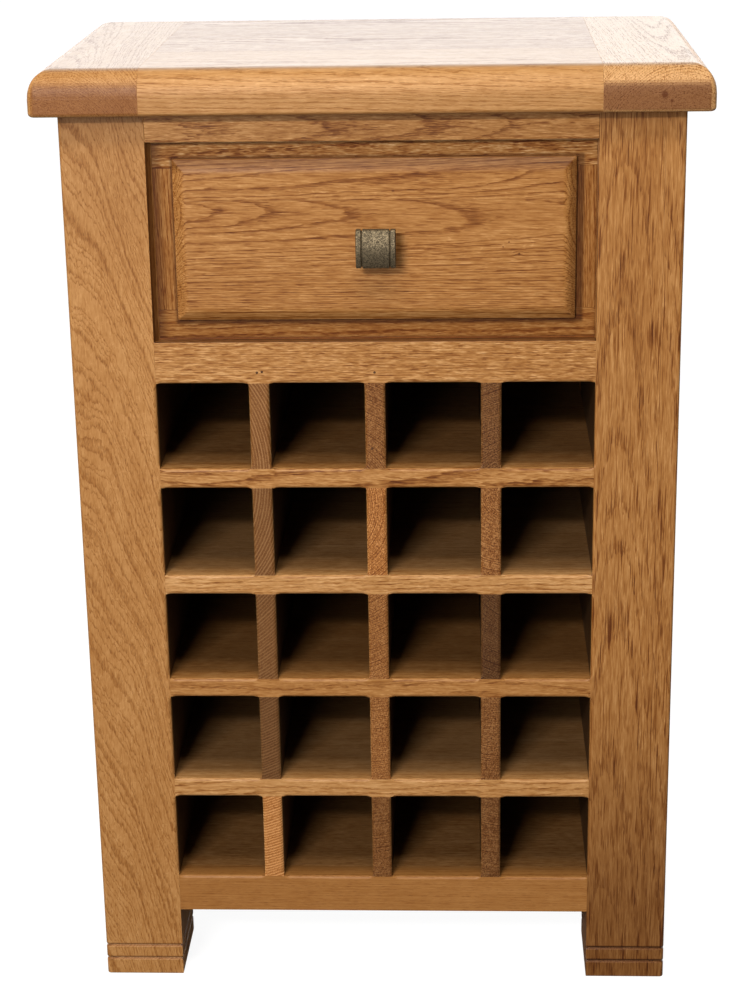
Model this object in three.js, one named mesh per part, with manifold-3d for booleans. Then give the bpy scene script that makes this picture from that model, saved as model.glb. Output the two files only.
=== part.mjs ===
// Oak wine cabinet: one drawer over a rack of bottle cells, four square posts and a moulded top.
// Lengths are millimetres, +X is the right of someone facing the front, +Y is to the back and +Z is up.
// Pieces are shaped with the front faces of the posts at y = 0 and the floor at z = 0.
import * as THREE from 'three';
import { mergeVertices } from 'three/addons/utils/BufferGeometryUtils.js';
import Module from 'manifold-3d';

const wasm = await Module();
wasm.setup();

// Carcass
const opening_width = 446;
const post_width = 85;
const post_depth = 98;
const body_depth = 380;
const foot_height = 80;
const bottom_rail_height = 42;
const middle_rail_height = 43.5;
const top_rail_height = 28;
const drawer_opening_height = 202.5;
const front_rail_thickness = 25;
const side_rail_thickness = 22;
const side_rail_setback = 4;
const side_upper_rail_height = 60;
const back_rail_thickness = 20;
const back_setback = 2;
const back_upper_rail_height = 60;
const post_rounding = 3;
const foot_chamfer = 1.5;

// Grooves round each foot
const foot_groove_width = 3.6;
const foot_groove_depth = 2;
const foot_groove_heights = { lower: 19.5, upper: 35.5 };
const groove_floor_share = 0.5;

// Top
const top_thickness = 45;
const front_overhang = 20;
const side_overhang = 26;
const back_overhang = 8;
const end_board_width = 109;
const middle_board_count = 3;
const edge_lower_rounding = 4;
const edge_flat_height = 18;
const edge_step = 1;
const edge_moulding_reach = 23;
const top_corner_radius = 8;
const sharpest_corner = 0.5;
const tongue_stop = 45;
const top_tongue_length = 20;
const top_tongue_thickness = 13;

// Bottle rack
const row_count = 5;
const cell_height = 96;
const top_cell_height = 91;
const shelf_thickness = 21;
const divider_thickness = 21;
const divider_pitch = 118;
const divider_count = 3;
const rack_board_thickness = 18;
const housing_depth = 6;
const housing_stop = 14;
const divider_tongue_start = 39;
const cell_rounding = 4;
const router_bearing_radius = 6.35;
const router_overcut = 0.15;

// Boards and panels in grooves
const lining_thickness = 14;
const lining_tongue_thickness = 6;
const panel_thickness = 10;
const panel_tongue = 8;
const back_board_count = 4;
const back_board_thickness = 10;
const back_board_lap = 8;
const board_tongue = 6;
const rack_tongue_thickness = 6;

// Tenons
const tenon_length = 24;
const tenon_thickness = 10;
const tenon_shoulder = 6;
const stub_tenon_length = 8;

// Drawer
const drawer_side_play = 3;
const drawer_drift = 2;
const drawer_gap_below = 2.5;
const drawer_gap_above = 2.5;
const drawer_recess = 10;
const drawer_frame_thickness = 20;
const drawer_bottom_rail_height = 29;
const drawer_top_rail_height = 25;
const drawer_stile_width = 30;
const drawer_stub_tenon = 10;
const drawer_side_thickness = 14;
const drawer_back_thickness = 14;
const drawer_back_inset = 4;
const drawer_back_drop = 18;
const drawer_bottom_thickness = 6;
const drawer_bottom_rise = 11;
const drawer_groove_depth = 6;
const running_gap = 0.3;
const tail_count = 3;
const tail_length = 12;
const tail_narrow_width = 24;
const tail_wide_width = 30;

// Raised panel on the drawer front
const panel_lip_overlap = 10;
const panel_lip_thickness = 3;
const panel_bevel_width = 12;
const panel_bevel_depth = 8;
const panel_back_thickness = 14;
const panel_corner_radius = 1.5;

// Runners, kickers and stops
const runner_ledge_width = 26;
const runner_guide_thickness = 20;
const runner_guide_height = 25;
const kicker_width = 26;
const stop_length = 12;
const stop_width = 18;
const stop_height = 20;

// Knob
const knob_width = 39.6;
const knob_height = 38.6;
const knob_projection = 27;
const knob_plate_thickness = 6;
const knob_crown = 5.5;
const knob_rim_width = 5;
const knob_groove_width = 1.2;
const knob_groove_depth = 1.2;
const knob_stem_radius = 9;
const knob_shift = 2;
const knob_drop = 4;

// Screws
const screw_shank_radius = 2;
const screw_head_radius = 4.2;
const screw_head_height = 3;
const top_screw_length = 44;
const top_screw_inset = 70;
const knob_screw_length = 30;
const knob_screw_head_height = 2.6;

// Clearances and facets
const fit = 0.3;
const overrun = 2;
const weld_distance = 0.0001;
const corner_steps = 3;
const edge_steps = 6;
const cell_edge_steps = 3;
const crown_steps = 10;
const round_sides = 16;

// Places that follow from the sizes
const sides = { left: -1, right: 1 };
const opening_half = opening_width / 2;
const body_half = opening_half + post_width;
const rack_floor = foot_height + bottom_rail_height;
const row_pitch = cell_height + shelf_thickness;
const rack_ceiling = rack_floor + (row_count - 1) * row_pitch + top_cell_height;
const drawer_floor = rack_ceiling + middle_rail_height;
const drawer_ceiling = drawer_floor + drawer_opening_height;
const carcass_height = drawer_ceiling + top_rail_height;
const rear_post_front = body_depth - post_depth;
const back_rail_front = body_depth - back_setback - back_rail_thickness;
const halving_depth = back_rail_front / 2;
const knob_front = drawer_recess - panel_lip_thickness - panel_bevel_depth - knob_projection;
const top_back = body_depth + back_overhang;
const top_half = body_half + side_overhang;

const bottom_rail_z = [foot_height, rack_floor];
const middle_rail_z = [rack_ceiling, drawer_floor];
const top_rail_z = [drawer_ceiling, carcass_height];
const side_upper_rail_z = [carcass_height - side_upper_rail_height, carcass_height];
const back_upper_rail_z = [carcass_height - back_upper_rail_height, carcass_height];
const base_board_z = [rack_floor - rack_board_thickness, rack_floor];
const rack_top_board_z = [rack_ceiling, rack_ceiling + rack_board_thickness];

// Finishes
const oak = new THREE.MeshStandardMaterial({ color: 0xb9803f, roughness: 0.42, metalness: 0 });
const pale_oak = new THREE.MeshStandardMaterial({ color: 0xc9a36a, roughness: 0.6, metalness: 0 });
const aged_brass = new THREE.MeshStandardMaterial({ color: 0x6f6650, roughness: 0.45, metalness: 0.9 });
const screw_steel = new THREE.MeshStandardMaterial({ color: 0x9a9c9e, roughness: 0.35, metalness: 1 });

// Ranges
const span = (side, near, far) => (side > 0 ? [near, far] : [-far, -near]);
const about = (middle, width) => [middle - width / 2, middle + width / 2];
const grown = (range, extra) => [range[0] - extra, range[1] + extra];
const both_ways = (half) => [-half, half];

// A closed solid from a geometry, by place alone
function solid(geometry) {
  const bare = new THREE.BufferGeometry();
  bare.setAttribute('position', geometry.attributes.position);
  bare.setIndex(geometry.index);
  const welded = mergeVertices(bare, weld_distance);
  return new wasm.Manifold(new wasm.Mesh({
    numProp: 3,
    vertProperties: Float32Array.from(welded.attributes.position.array),
    triVerts: Uint32Array.from(welded.index.array),
  }));
}

// A rectangular block that fills three ranges
function block({ x, y, z }) {
  const geometry = new THREE.BoxGeometry(1, 1, 1);
  const place = geometry.attributes.position;
  for (let i = 0; i < place.count; i += 1) {
    const corner = [x, y, z].map((range, axis) => range[place.getComponent(i, axis) > 0 ? 1 : 0]);
    place.setXYZ(i, ...corner);
  }
  return solid(geometry);
}

// The room that a block needs in the piece it enters
const socket = ({ x, y, z }) => block({ x: grown(x, fit), y: grown(y, fit), z: grown(z, fit) });

// Rings of equally many points joined into one solid, with a flat face at each end
function stacked(rings) {
  const count = rings[0].length;
  const places = rings.flat(2);
  const faces = [];
  for (let level = 0; level < rings.length - 1; level += 1) {
    for (let i = 0; i < count; i += 1) {
      const next = (i + 1) % count;
      const [a, b] = [level * count + i, level * count + next];
      faces.push(a, b, b + count, a, b + count, a + count);
    }
  }
  const last = (rings.length - 1) * count;
  for (let i = 1; i < count - 1; i += 1) {
    faces.push(0, i + 1, i);
    faces.push(last, last + i, last + i + 1);
  }
  const geometry = new THREE.BufferGeometry();
  geometry.setAttribute('position', new THREE.Float32BufferAttribute(places, 3));
  geometry.setIndex(faces);
  return solid(geometry);
}

// A rectangle with its four corners rounded, anticlockwise from the low corner of both ranges
function rounded_outline(u, v, radii) {
  const corners = [[u[0], v[0], 1, 1], [u[1], v[0], -1, 1], [u[1], v[1], -1, -1], [u[0], v[1], 1, -1]];
  return corners.flatMap(([corner_u, corner_v, inward_u, inward_v], index) => {
    const radius = radii[index];
    if (radius === 0) {
      return [[corner_u, corner_v]];
    }
    const points = [];
    for (let step = 0; step <= corner_steps; step += 1) {
      const angle = (index + 2 + step / corner_steps) * Math.PI / 2;
      const centre_u = corner_u + inward_u * radius;
      const centre_v = corner_v + inward_v * radius;
      points.push([centre_u + radius * Math.cos(angle), centre_v + radius * Math.sin(angle)]);
    }
    return points;
  });
}

const level_ring = (outline, z) => outline.map(([x, y]) => [x, y, z]);
const upright_ring = (outline, y) => outline.map(([x, z]) => [x, y, z]);
const side_ring = (outline, x) => outline.map(([y, z]) => [x, y, z]);

// A turned solid about the Y axis, from its profile of radius and place along the axis
function turned(profile) {
  const points = profile.map(([radius, along]) => new THREE.Vector2(radius, along));
  return new THREE.LatheGeometry(points, round_sides);
}

function all_added(first, more) {
  return more.reduce((whole, piece) => whole.add(piece), first);
}

function all_cut(first, cutters) {
  return cutters.reduce((whole, cutter) => whole.subtract(cutter), first);
}

const cabinet = new THREE.Group();
cabinet.position.y = -(knob_front + top_back) / 2;

function place(name, piece, finish) {
  const mesh = piece.getMesh();
  const geometry = new THREE.BufferGeometry();
  geometry.setAttribute('position', new THREE.Float32BufferAttribute(mesh.vertProperties, 3));
  geometry.setIndex(new THREE.Uint32BufferAttribute(mesh.triVerts, 1));
  geometry.computeVertexNormals();
  const node = new THREE.Mesh(geometry, finish);
  node.name = name;
  cabinet.add(node);
}

// Cells of the rack, and what the router takes off their front edges
const divider_places = Array.from({ length: divider_count }, (_, i) => (i - (divider_count - 1) / 2) * divider_pitch);

function cell_columns() {
  const edges = [-opening_half];
  for (const middle of divider_places) {
    edges.push(...about(middle, divider_thickness));
  }
  edges.push(opening_half);
  return Array.from({ length: divider_count + 1 }, (_, i) => [edges[2 * i], edges[2 * i + 1]]);
}

function cell_rows() {
  return Array.from({ length: row_count }, (_, i) => {
    const floor = rack_floor + i * row_pitch;
    return [floor, i === row_count - 1 ? rack_ceiling : floor + cell_height];
  });
}

// The bearing follows the cell, so the rounding stops short of each sharp inner corner
function cell_router(column, row) {
  const rings = [];
  for (let step = 0; step <= cell_edge_steps; step += 1) {
    const angle = step / cell_edge_steps * Math.PI / 2;
    const spread = cell_rounding * (1 - Math.cos(angle)) - router_overcut;
    const depth = cell_rounding * (1 - Math.sin(angle));
    const radii = Array(4).fill(router_bearing_radius + spread);
    rings.push(upright_ring(rounded_outline(grown(column, spread), grown(row, spread), radii), depth));
  }
  rings.push(rings[cell_edge_steps].map(([x, , z]) => [x, -overrun, z]));
  return stacked(rings);
}

const cell_routers = cell_columns().flatMap((column) => cell_rows().map((row) => cell_router(column, row)));

// What each piece of the carcass puts into the posts
const front_tenon = (side, z) => ({
  x: span(side, opening_half - overrun, opening_half + tenon_length),
  y: about(front_rail_thickness / 2, tenon_thickness),
  z: grown(z, -tenon_shoulder),
});

const back_tenon = (side, z) => ({
  x: span(side, opening_half - overrun, opening_half + tenon_length),
  y: about(back_rail_front + back_rail_thickness / 2, tenon_thickness),
  z: grown(z, -tenon_shoulder),
});

const side_rail_near = body_half - side_rail_setback - side_rail_thickness;
const side_tenon_x = about(side_rail_near + side_rail_thickness / 2, tenon_thickness);

const side_tenons = (side, z) => ({
  x: span(side, ...side_tenon_x),
  y: [post_depth - tenon_length, rear_post_front + tenon_length],
  z: grown(z, -tenon_shoulder),
});

const side_panel_room = (side) => ({
  x: span(side, ...about(side_rail_near + side_rail_thickness / 2, panel_thickness)),
  y: [post_depth - panel_tongue, rear_post_front + panel_tongue],
  z: [rack_floor - panel_tongue, side_upper_rail_z[0] + panel_tongue],
});

const lining_z = [base_board_z[0], rack_top_board_z[1]];

const lining_tongues = (side) => ({
  x: span(side, ...about(opening_half + lining_thickness / 2, lining_tongue_thickness)),
  y: [post_depth - board_tongue, rear_post_front + board_tongue],
  z: lining_z,
});

const shelf_z = (index) => [rack_floor + index * row_pitch - shelf_thickness, rack_floor + index * row_pitch];
const shelf_rows = Array.from({ length: row_count - 1 }, (_, i) => shelf_z(i + 1));

const housed_ends = (z, start) => ({
  x: both_ways(opening_half + housing_depth),
  y: [start, back_rail_front],
  z,
});

const rack_housings = () => [
  ...shelf_rows.map((z) => socket(housed_ends(z, housing_stop))),
  socket(housed_ends(base_board_z, front_rail_thickness)),
  socket(housed_ends(rack_top_board_z, front_rail_thickness)),
];

const back_tongue_y = [back_rail_front + back_board_thickness / 2, back_rail_front + back_board_thickness];

const back_boards_room = {
  x: both_ways(opening_half + board_tongue),
  y: back_tongue_y,
  z: [rack_floor - board_tongue, back_upper_rail_z[0] + board_tongue],
};

// A post with its outer corners rounded and two grooves round the foot
function post_blank(side, y) {
  const x = span(side, opening_half, body_half);
  const outer = side > 0 ? [0, post_rounding, post_rounding, 0] : [post_rounding, 0, 0, post_rounding];
  const levels = [[0, foot_chamfer], [foot_chamfer, 0]];
  for (const height of Object.values(foot_groove_heights)) {
    const mouth = about(height, foot_groove_width);
    const floor = about(height, foot_groove_width * groove_floor_share);
    levels.push([mouth[0], 0], [floor[0], foot_groove_depth], [floor[1], foot_groove_depth], [mouth[1], 0]);
  }
  levels.push([carcass_height, 0]);
  return stacked(levels.map(([z, inset]) => {
    const outline = rounded_outline(grown(x, -inset), grown(y, -inset), outer.map((radius) => radius && radius - inset / 2));
    return level_ring(outline, z);
  }));
}

function make_posts() {
  for (const [word, side] of Object.entries(sides)) {
    const shared = [
      socket(side_tenons(side, bottom_rail_z)),
      socket(side_tenons(side, side_upper_rail_z)),
      socket(side_panel_room(side)),
      socket(lining_tongues(side)),
      ...rack_housings(),
    ];
    const front_sockets = [bottom_rail_z, middle_rail_z, top_rail_z].map((z) => socket(front_tenon(side, z)));
    const front = all_cut(post_blank(side, [0, post_depth]), [...shared, ...front_sockets, ...cell_routers]);
    place(`front_post_${word}`, front, oak);
    const back_sockets = [bottom_rail_z, back_upper_rail_z].map((z) => socket(back_tenon(side, z)));
    const rear = all_cut(
      post_blank(side, [rear_post_front, body_depth]),
      [...shared, ...back_sockets, socket(back_boards_room)],
    );
    place(`rear_post_${word}`, rear, oak);
  }
}

// Tongues along the front edges of the two boards that close the rack
const rack_board_tongue = (z) => ({
  x: both_ways(opening_half - overrun),
  y: [front_rail_thickness - board_tongue, front_rail_thickness + overrun],
  z: about((z[0] + z[1]) / 2, rack_tongue_thickness),
});

const kicker_x = (side) => span(side, opening_half - kicker_width, opening_half);

const kicker_tenons = (side) => ({
  x: grown(kicker_x(side), -tenon_shoulder),
  y: [front_rail_thickness - stub_tenon_length, back_rail_front + stub_tenon_length],
  z: grown(top_rail_z, -tenon_shoulder),
});

function make_front_rails() {
  const rail = (z) => all_added(
    block({ x: both_ways(opening_half), y: [0, front_rail_thickness], z }),
    Object.values(sides).map((side) => block(front_tenon(side, z))),
  );
  const kicker_sockets = Object.values(sides).map((side) => socket(kicker_tenons(side)));
  place('top_rail', all_cut(rail(top_rail_z), kicker_sockets), oak);
  const middle_cuts = [socket(rack_board_tongue(rack_top_board_z)), ...cell_routers];
  place('middle_rail', all_cut(rail(middle_rail_z), middle_cuts), oak);
  const bottom_cuts = [socket(rack_board_tongue(base_board_z)), ...cell_routers];
  place('bottom_rail', all_cut(rail(bottom_rail_z), bottom_cuts), oak);
}

function make_side_frames() {
  for (const [word, side] of Object.entries(sides)) {
    const rail = (z) => block({
      x: span(side, side_rail_near, side_rail_near + side_rail_thickness),
      y: [post_depth, rear_post_front],
      z,
    }).add(block(side_tenons(side, z))).subtract(socket(side_panel_room(side)));
    place(`side_upper_rail_${word}`, rail(side_upper_rail_z), oak);
    place(`side_lower_rail_${word}`, rail(bottom_rail_z), oak);
    place(`side_panel_${word}`, block(side_panel_room(side)), oak);
  }
}

function make_linings() {
  for (const [word, side] of Object.entries(sides)) {
    const board = block({
      x: span(side, opening_half, opening_half + lining_thickness),
      y: [post_depth, rear_post_front],
      z: lining_z,
    }).add(block(lining_tongues(side)));
    place(`rack_lining_${word}`, all_cut(board, rack_housings()), pale_oak);
  }
}

// The back: two rails and lapped boards between them
function make_back() {
  const rail = (z) => all_added(
    block({ x: both_ways(opening_half), y: [back_rail_front, back_rail_front + back_rail_thickness], z }),
    Object.values(sides).map((side) => block(back_tenon(side, z))),
  ).subtract(socket(back_boards_room));
  const kicker_sockets = Object.values(sides).map((side) => socket(kicker_tenons(side)));
  place('back_upper_rail', all_cut(rail(back_upper_rail_z), kicker_sockets), oak);
  place('back_lower_rail', rail(bottom_rail_z), oak);

  const board_width = opening_width / back_board_count;
  const lap_y = [back_rail_front, back_tongue_y[0]];
  const clear_z = [rack_floor, back_upper_rail_z[0]];
  for (let i = 0; i < back_board_count; i += 1) {
    const x = [-opening_half + i * board_width, -opening_half + (i + 1) * board_width];
    const first = i === 0;
    const last = i === back_board_count - 1;
    const tongue_x = [first ? x[0] - board_tongue : x[0], last ? x[1] + board_tongue : x[1] - fit];
    const face = block({ x: [x[0], last ? x[1] : x[1] - fit], y: [lap_y[0], back_tongue_y[1]], z: clear_z });
    let board = face.add(block({ x: tongue_x, y: back_tongue_y, z: back_boards_room.z }));
    if (!last) {
      const lap_x = [x[1] - overrun, x[1] + back_board_lap];
      board = board.add(block({ x: lap_x, y: [lap_y[0], lap_y[1] - fit], z: clear_z }));
    }
    if (!first) {
      board = board.subtract(block({
        x: [x[0] - overrun, x[0] + back_board_lap + fit],
        y: [lap_y[0] - overrun, lap_y[1]],
        z: grown(back_boards_room.z, overrun),
      }));
    }
    place(`back_board_${i + 1}`, board, pale_oak);
  }
}

// The rack: shelves and dividers are halved into each other, boards close it above and below
const divider_x = (middle) => about(middle, divider_thickness);

const divider_tongue = (middle) => ({
  x: divider_x(middle),
  y: [divider_tongue_start, back_rail_front],
  z: grown([rack_floor, rack_ceiling], housing_depth),
});

function make_rack() {
  const divider_housings = divider_places.map((middle) => socket(divider_tongue(middle)));
  const closing_board = (z) => all_cut(
    block({ x: both_ways(opening_half), y: [front_rail_thickness, back_rail_front], z })
      .add(block(housed_ends(z, front_rail_thickness + fit)))
      .add(block(rack_board_tongue(z))),
    divider_housings,
  );
  place('rack_top_board', closing_board(rack_top_board_z), pale_oak);
  place('rack_base_board', closing_board(base_board_z), pale_oak);

  shelf_rows.forEach((z, index) => {
    const shelf = block({ x: both_ways(opening_half), y: [0, back_rail_front], z })
      .add(block(housed_ends(z, housing_stop)));
    const slots = divider_places.map((middle) => block({
      x: grown(divider_x(middle), fit),
      y: [halving_depth, back_rail_front + overrun],
      z: grown(z, overrun),
    }));
    place(`rack_shelf_${index + 1}`, all_cut(shelf, [...slots, ...cell_routers]), oak);
  });

  divider_places.forEach((middle, index) => {
    const divider = block({ x: divider_x(middle), y: [0, back_rail_front], z: [rack_floor, rack_ceiling] })
      .add(block(divider_tongue(middle)));
    const notches = shelf_rows.map((z) => block({
      x: grown(divider_x(middle), overrun),
      y: [-overrun, halving_depth + fit],
      z,
    }));
    place(`rack_divider_${index + 1}`, all_cut(divider, [...notches, ...cell_routers]), oak);
  });
}

// What carries, guides and stops the drawer
const drawer_back_end = back_rail_front - stop_length - fit;
const top_screw_places = { front: top_screw_inset, rear: body_depth - top_screw_inset };

function make_drawer_supports() {
  for (const [word, side] of Object.entries(sides)) {
    const runner_x = span(side, opening_half - runner_ledge_width, opening_half);
    const runner_low = rack_top_board_z[1];
    const runner = block({ x: runner_x, y: [front_rail_thickness, back_rail_front], z: [runner_low, drawer_floor] })
      .add(block({
        x: span(side, opening_half - fit, opening_half + runner_guide_thickness),
        y: grown([post_depth, rear_post_front], -fit),
        z: [runner_low, drawer_floor],
      }))
      .add(block({
        x: span(side, opening_half, opening_half + runner_guide_thickness),
        y: grown([post_depth, rear_post_front], -fit),
        z: [runner_low, drawer_floor + runner_guide_height],
      }));
    place(`drawer_runner_${word}`, runner, pale_oak);

    const kicker = block({ x: kicker_x(side), y: [front_rail_thickness, back_rail_front], z: top_rail_z })
      .add(block(kicker_tenons(side)));
    const holes = Object.values(top_screw_places).map((y) => top_screw(side, y, fit));
    place(`drawer_kicker_${word}`, all_cut(kicker, holes), pale_oak);

    const stop_x = (runner_x[0] + runner_x[1]) / 2;
    place(`drawer_stop_${word}`, block({
      x: about(stop_x, stop_width),
      y: [back_rail_front - stop_length, back_rail_front],
      z: [drawer_floor, drawer_floor + stop_height],
    }), pale_oak);
  }
}

// A countersunk screw through a kicker into the top, or the hole for it
function top_screw(side, y, extra) {
  const head = [[0, -extra], [screw_head_radius + extra, -extra]];
  const shank_radius = screw_shank_radius + extra;
  const shank = [[shank_radius, screw_head_height], [shank_radius, top_screw_length], [0, top_screw_length + extra]];
  const geometry = turned([...head, ...shank]);
  const kicker = kicker_x(side);
  geometry.rotateX(Math.PI / 2);
  geometry.translate((kicker[0] + kicker[1]) / 2, y, drawer_ceiling + fit);
  return solid(geometry);
}

function make_top_screws() {
  for (const [word, side] of Object.entries(sides)) {
    for (const [where, y] of Object.entries(top_screw_places)) {
      place(`top_screw_${where}_${word}`, top_screw(side, y, 0), screw_steel);
    }
  }
}

// The top: a moulded slab cut into two end boards and the boards between them
function top_slab() {
  const levels = [];
  for (let step = 0; step <= corner_steps; step += 1) {
    const angle = step / corner_steps * Math.PI / 2;
    const inset = edge_lower_rounding * (1 - Math.sin(angle));
    levels.push([edge_lower_rounding * (1 - Math.cos(angle)), inset]);
  }
  levels.push([edge_flat_height, 0]);
  const moulding_rise = top_thickness - edge_flat_height;
  for (let step = 0; step <= edge_steps; step += 1) {
    const angle = step / edge_steps * Math.PI / 2;
    const inset = edge_step + edge_moulding_reach * (1 - Math.cos(angle));
    levels.push([edge_flat_height + moulding_rise * Math.sin(angle), inset]);
  }
  return stacked(levels.map(([height, inset]) => {
    const corner = Math.max(top_corner_radius - inset, sharpest_corner);
    const outline = rounded_outline(
      both_ways(top_half - inset),
      [-front_overhang + inset, top_back],
      [corner, corner, 0, 0],
    );
    return level_ring(outline, carcass_height + height);
  }));
}

function make_top() {
  const slab = top_slab();
  const joint_x = top_half - end_board_width;
  const all_y = [-front_overhang - overrun, top_back + overrun];
  const all_z = [carcass_height - overrun, carcass_height + top_thickness + overrun];
  const tongue = (y) => ({
    x: both_ways(joint_x + top_tongue_length),
    y,
    z: about(carcass_height + edge_flat_height + top_tongue_thickness / 2, top_tongue_thickness),
  });
  const tongue_y = grown([-front_overhang, top_back], -tongue_stop);
  for (const [word, side] of Object.entries(sides)) {
    const board = slab
      .intersect(block({ x: span(side, joint_x, top_half + overrun), y: all_y, z: all_z }))
      .subtract(socket(tongue(tongue_y)));
    place(`top_end_board_${word}`, board, oak);
  }

  const names = ['top_front_board', 'top_centre_board', 'top_rear_board'];
  const board_depth = (top_back + front_overhang) / middle_board_count;
  const screws = Object.values(sides).flatMap((side) => (
    Object.values(top_screw_places).map((y) => top_screw(side, y, fit))
  ));
  names.forEach((name, index) => {
    const start = -front_overhang + index * board_depth;
    const first = index === 0;
    const last = index === middle_board_count - 1;
    const y = [first ? all_y[0] : start, last ? all_y[1] : start + board_depth];
    const part_y = [Math.max(start, tongue_y[0]), Math.min(start + board_depth, tongue_y[1])];
    const board = slab.intersect(block({ x: both_ways(joint_x), y, z: all_z })).add(block(tongue(part_y)));
    place(name, all_cut(board, screws), oak);
  });
}

// The drawer, which sits a little to the right of the middle of its opening
const drawer_half = opening_half - drawer_side_play;
const drawer_x = (range) => range.map((value) => value + drawer_drift);
const drawer_side_x = (side) => drawer_x(span(side, drawer_half - drawer_side_thickness, drawer_half));
const drawer_z = [drawer_floor + drawer_gap_below, drawer_ceiling - drawer_gap_above];
const frame_y = [drawer_recess, drawer_recess + drawer_frame_thickness];
const frame_opening_z = [drawer_z[0] + drawer_bottom_rail_height, drawer_z[1] - drawer_top_rail_height];
const frame_opening_half = drawer_half - drawer_stile_width;
const panel_lip_front = drawer_recess - panel_lip_thickness;
const panel_face = panel_lip_front - panel_bevel_depth;
const panel_z = grown(frame_opening_z, panel_lip_overlap);
const drawer_bottom_z = [drawer_z[0] + drawer_bottom_rise, drawer_z[0] + drawer_bottom_rise + drawer_bottom_thickness];

const drawer_bottom_room = {
  x: drawer_x(both_ways(drawer_half - drawer_side_thickness + drawer_groove_depth)),
  y: [frame_y[1] - drawer_groove_depth, drawer_back_end],
  z: drawer_bottom_z,
};

const drawer_back_room = {
  x: drawer_x(both_ways(drawer_half - drawer_side_thickness + drawer_groove_depth)),
  y: [drawer_back_end - drawer_back_inset - drawer_back_thickness, drawer_back_end - drawer_back_inset],
  z: [drawer_bottom_z[1] + fit, drawer_z[1] - drawer_back_drop],
};

const stile_tenons = (side) => ({
  x: grown(drawer_x(span(side, frame_opening_half, drawer_half)), -tenon_shoulder),
  y: about((frame_y[0] + frame_y[1]) / 2, drawer_stub_tenon),
  z: grown(frame_opening_z, drawer_stub_tenon),
});

// Dovetails of the drawer sides, narrow at the shoulder and wide at the end
function tails(side, extra) {
  const spacing = (frame_opening_z[1] - frame_opening_z[0]) / tail_count;
  const x = grown(drawer_side_x(side), extra);
  return Array.from({ length: tail_count }, (_, i) => {
    const middle = frame_opening_z[0] + (i + 1 / 2) * spacing;
    const narrow = about(middle, tail_narrow_width + 2 * extra);
    const wide = about(middle, tail_wide_width + 2 * extra);
    const tip = frame_y[1] - tail_length - extra;
    const root = frame_y[1] + overrun;
    const outline = [[tip, wide[0]], [root, narrow[0]], [root, narrow[1]], [tip, wide[1]]];
    return stacked(x.map((value) => side_ring(outline, value)));
  });
}

// The raised panel: a tongue in the frame, a lip that covers its joint, and a bevel up to the field
function raised_panel() {
  const lip_x = drawer_x(both_ways(frame_opening_half + panel_lip_overlap));
  const radii = Array(4).fill(panel_corner_radius);
  const ring = (inset, y) => upright_ring(rounded_outline(grown(lip_x, -inset), grown(panel_z, -inset), radii), y);
  const face = stacked([
    ring(0, drawer_recess),
    ring(0, panel_lip_front),
    ring(panel_bevel_width, panel_face),
  ]);
  const tongue = block({
    x: grown(drawer_x(both_ways(frame_opening_half)), -fit),
    y: [panel_lip_front, drawer_recess + panel_back_thickness],
    z: grown(frame_opening_z, -fit),
  });
  return face.add(tongue);
}

const knob_middle = {
  x: drawer_drift + knob_shift,
  z: (panel_z[0] + panel_z[1]) / 2 - knob_drop,
};

// Section of the knob's plate across its crown, pushed in all round where the grooves run
function knob_section(inset) {
  const back = knob_front + knob_crown + knob_plate_thickness - inset;
  const half = knob_height / 2 - inset;
  const outline = [[back, -half], [back, half]];
  for (let step = 0; step <= crown_steps; step += 1) {
    const share = 1 - 2 * step / crown_steps;
    outline.push([knob_front + inset + knob_crown * share * share, half * share]);
  }
  return outline.map(([y, z]) => [y, knob_middle.z + z]);
}

function knob() {
  const half = knob_width / 2;
  const steps = [
    [0, 0],
    [knob_rim_width, 0],
    [knob_rim_width, knob_groove_depth],
    [knob_rim_width + knob_groove_width, knob_groove_depth],
    [knob_rim_width + knob_groove_width, 0],
  ];
  const left = steps.map(([from_end, inset]) => [knob_middle.x - half + from_end, inset]);
  const right = steps.map(([from_end, inset]) => [knob_middle.x + half - from_end, inset]).reverse();
  const plate = stacked([...left, ...right].map(([x, inset]) => side_ring(knob_section(inset), x)));
  const plate_back = knob_front + knob_crown + knob_plate_thickness;
  const stem = turned([
    [0, plate_back - overrun],
    [knob_stem_radius, plate_back - overrun],
    [knob_stem_radius, panel_face],
    [0, panel_face],
  ]);
  stem.translate(knob_middle.x, 0, knob_middle.z);
  return plate.add(solid(stem)).subtract(knob_screw(fit));
}

// The screw that holds the knob, from inside the drawer, or the hole for it
function knob_screw(extra) {
  const head_seat = drawer_recess + panel_back_thickness;
  const tip = head_seat - knob_screw_length;
  const shank_radius = screw_shank_radius + extra;
  const geometry = turned([
    [0, tip - extra],
    [shank_radius, tip - extra],
    [shank_radius, head_seat],
    [screw_head_radius, head_seat],
    [screw_head_radius, head_seat + knob_screw_head_height],
    [0, head_seat + knob_screw_head_height],
  ]);
  geometry.translate(knob_middle.x, 0, knob_middle.z);
  return solid(geometry);
}

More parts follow.
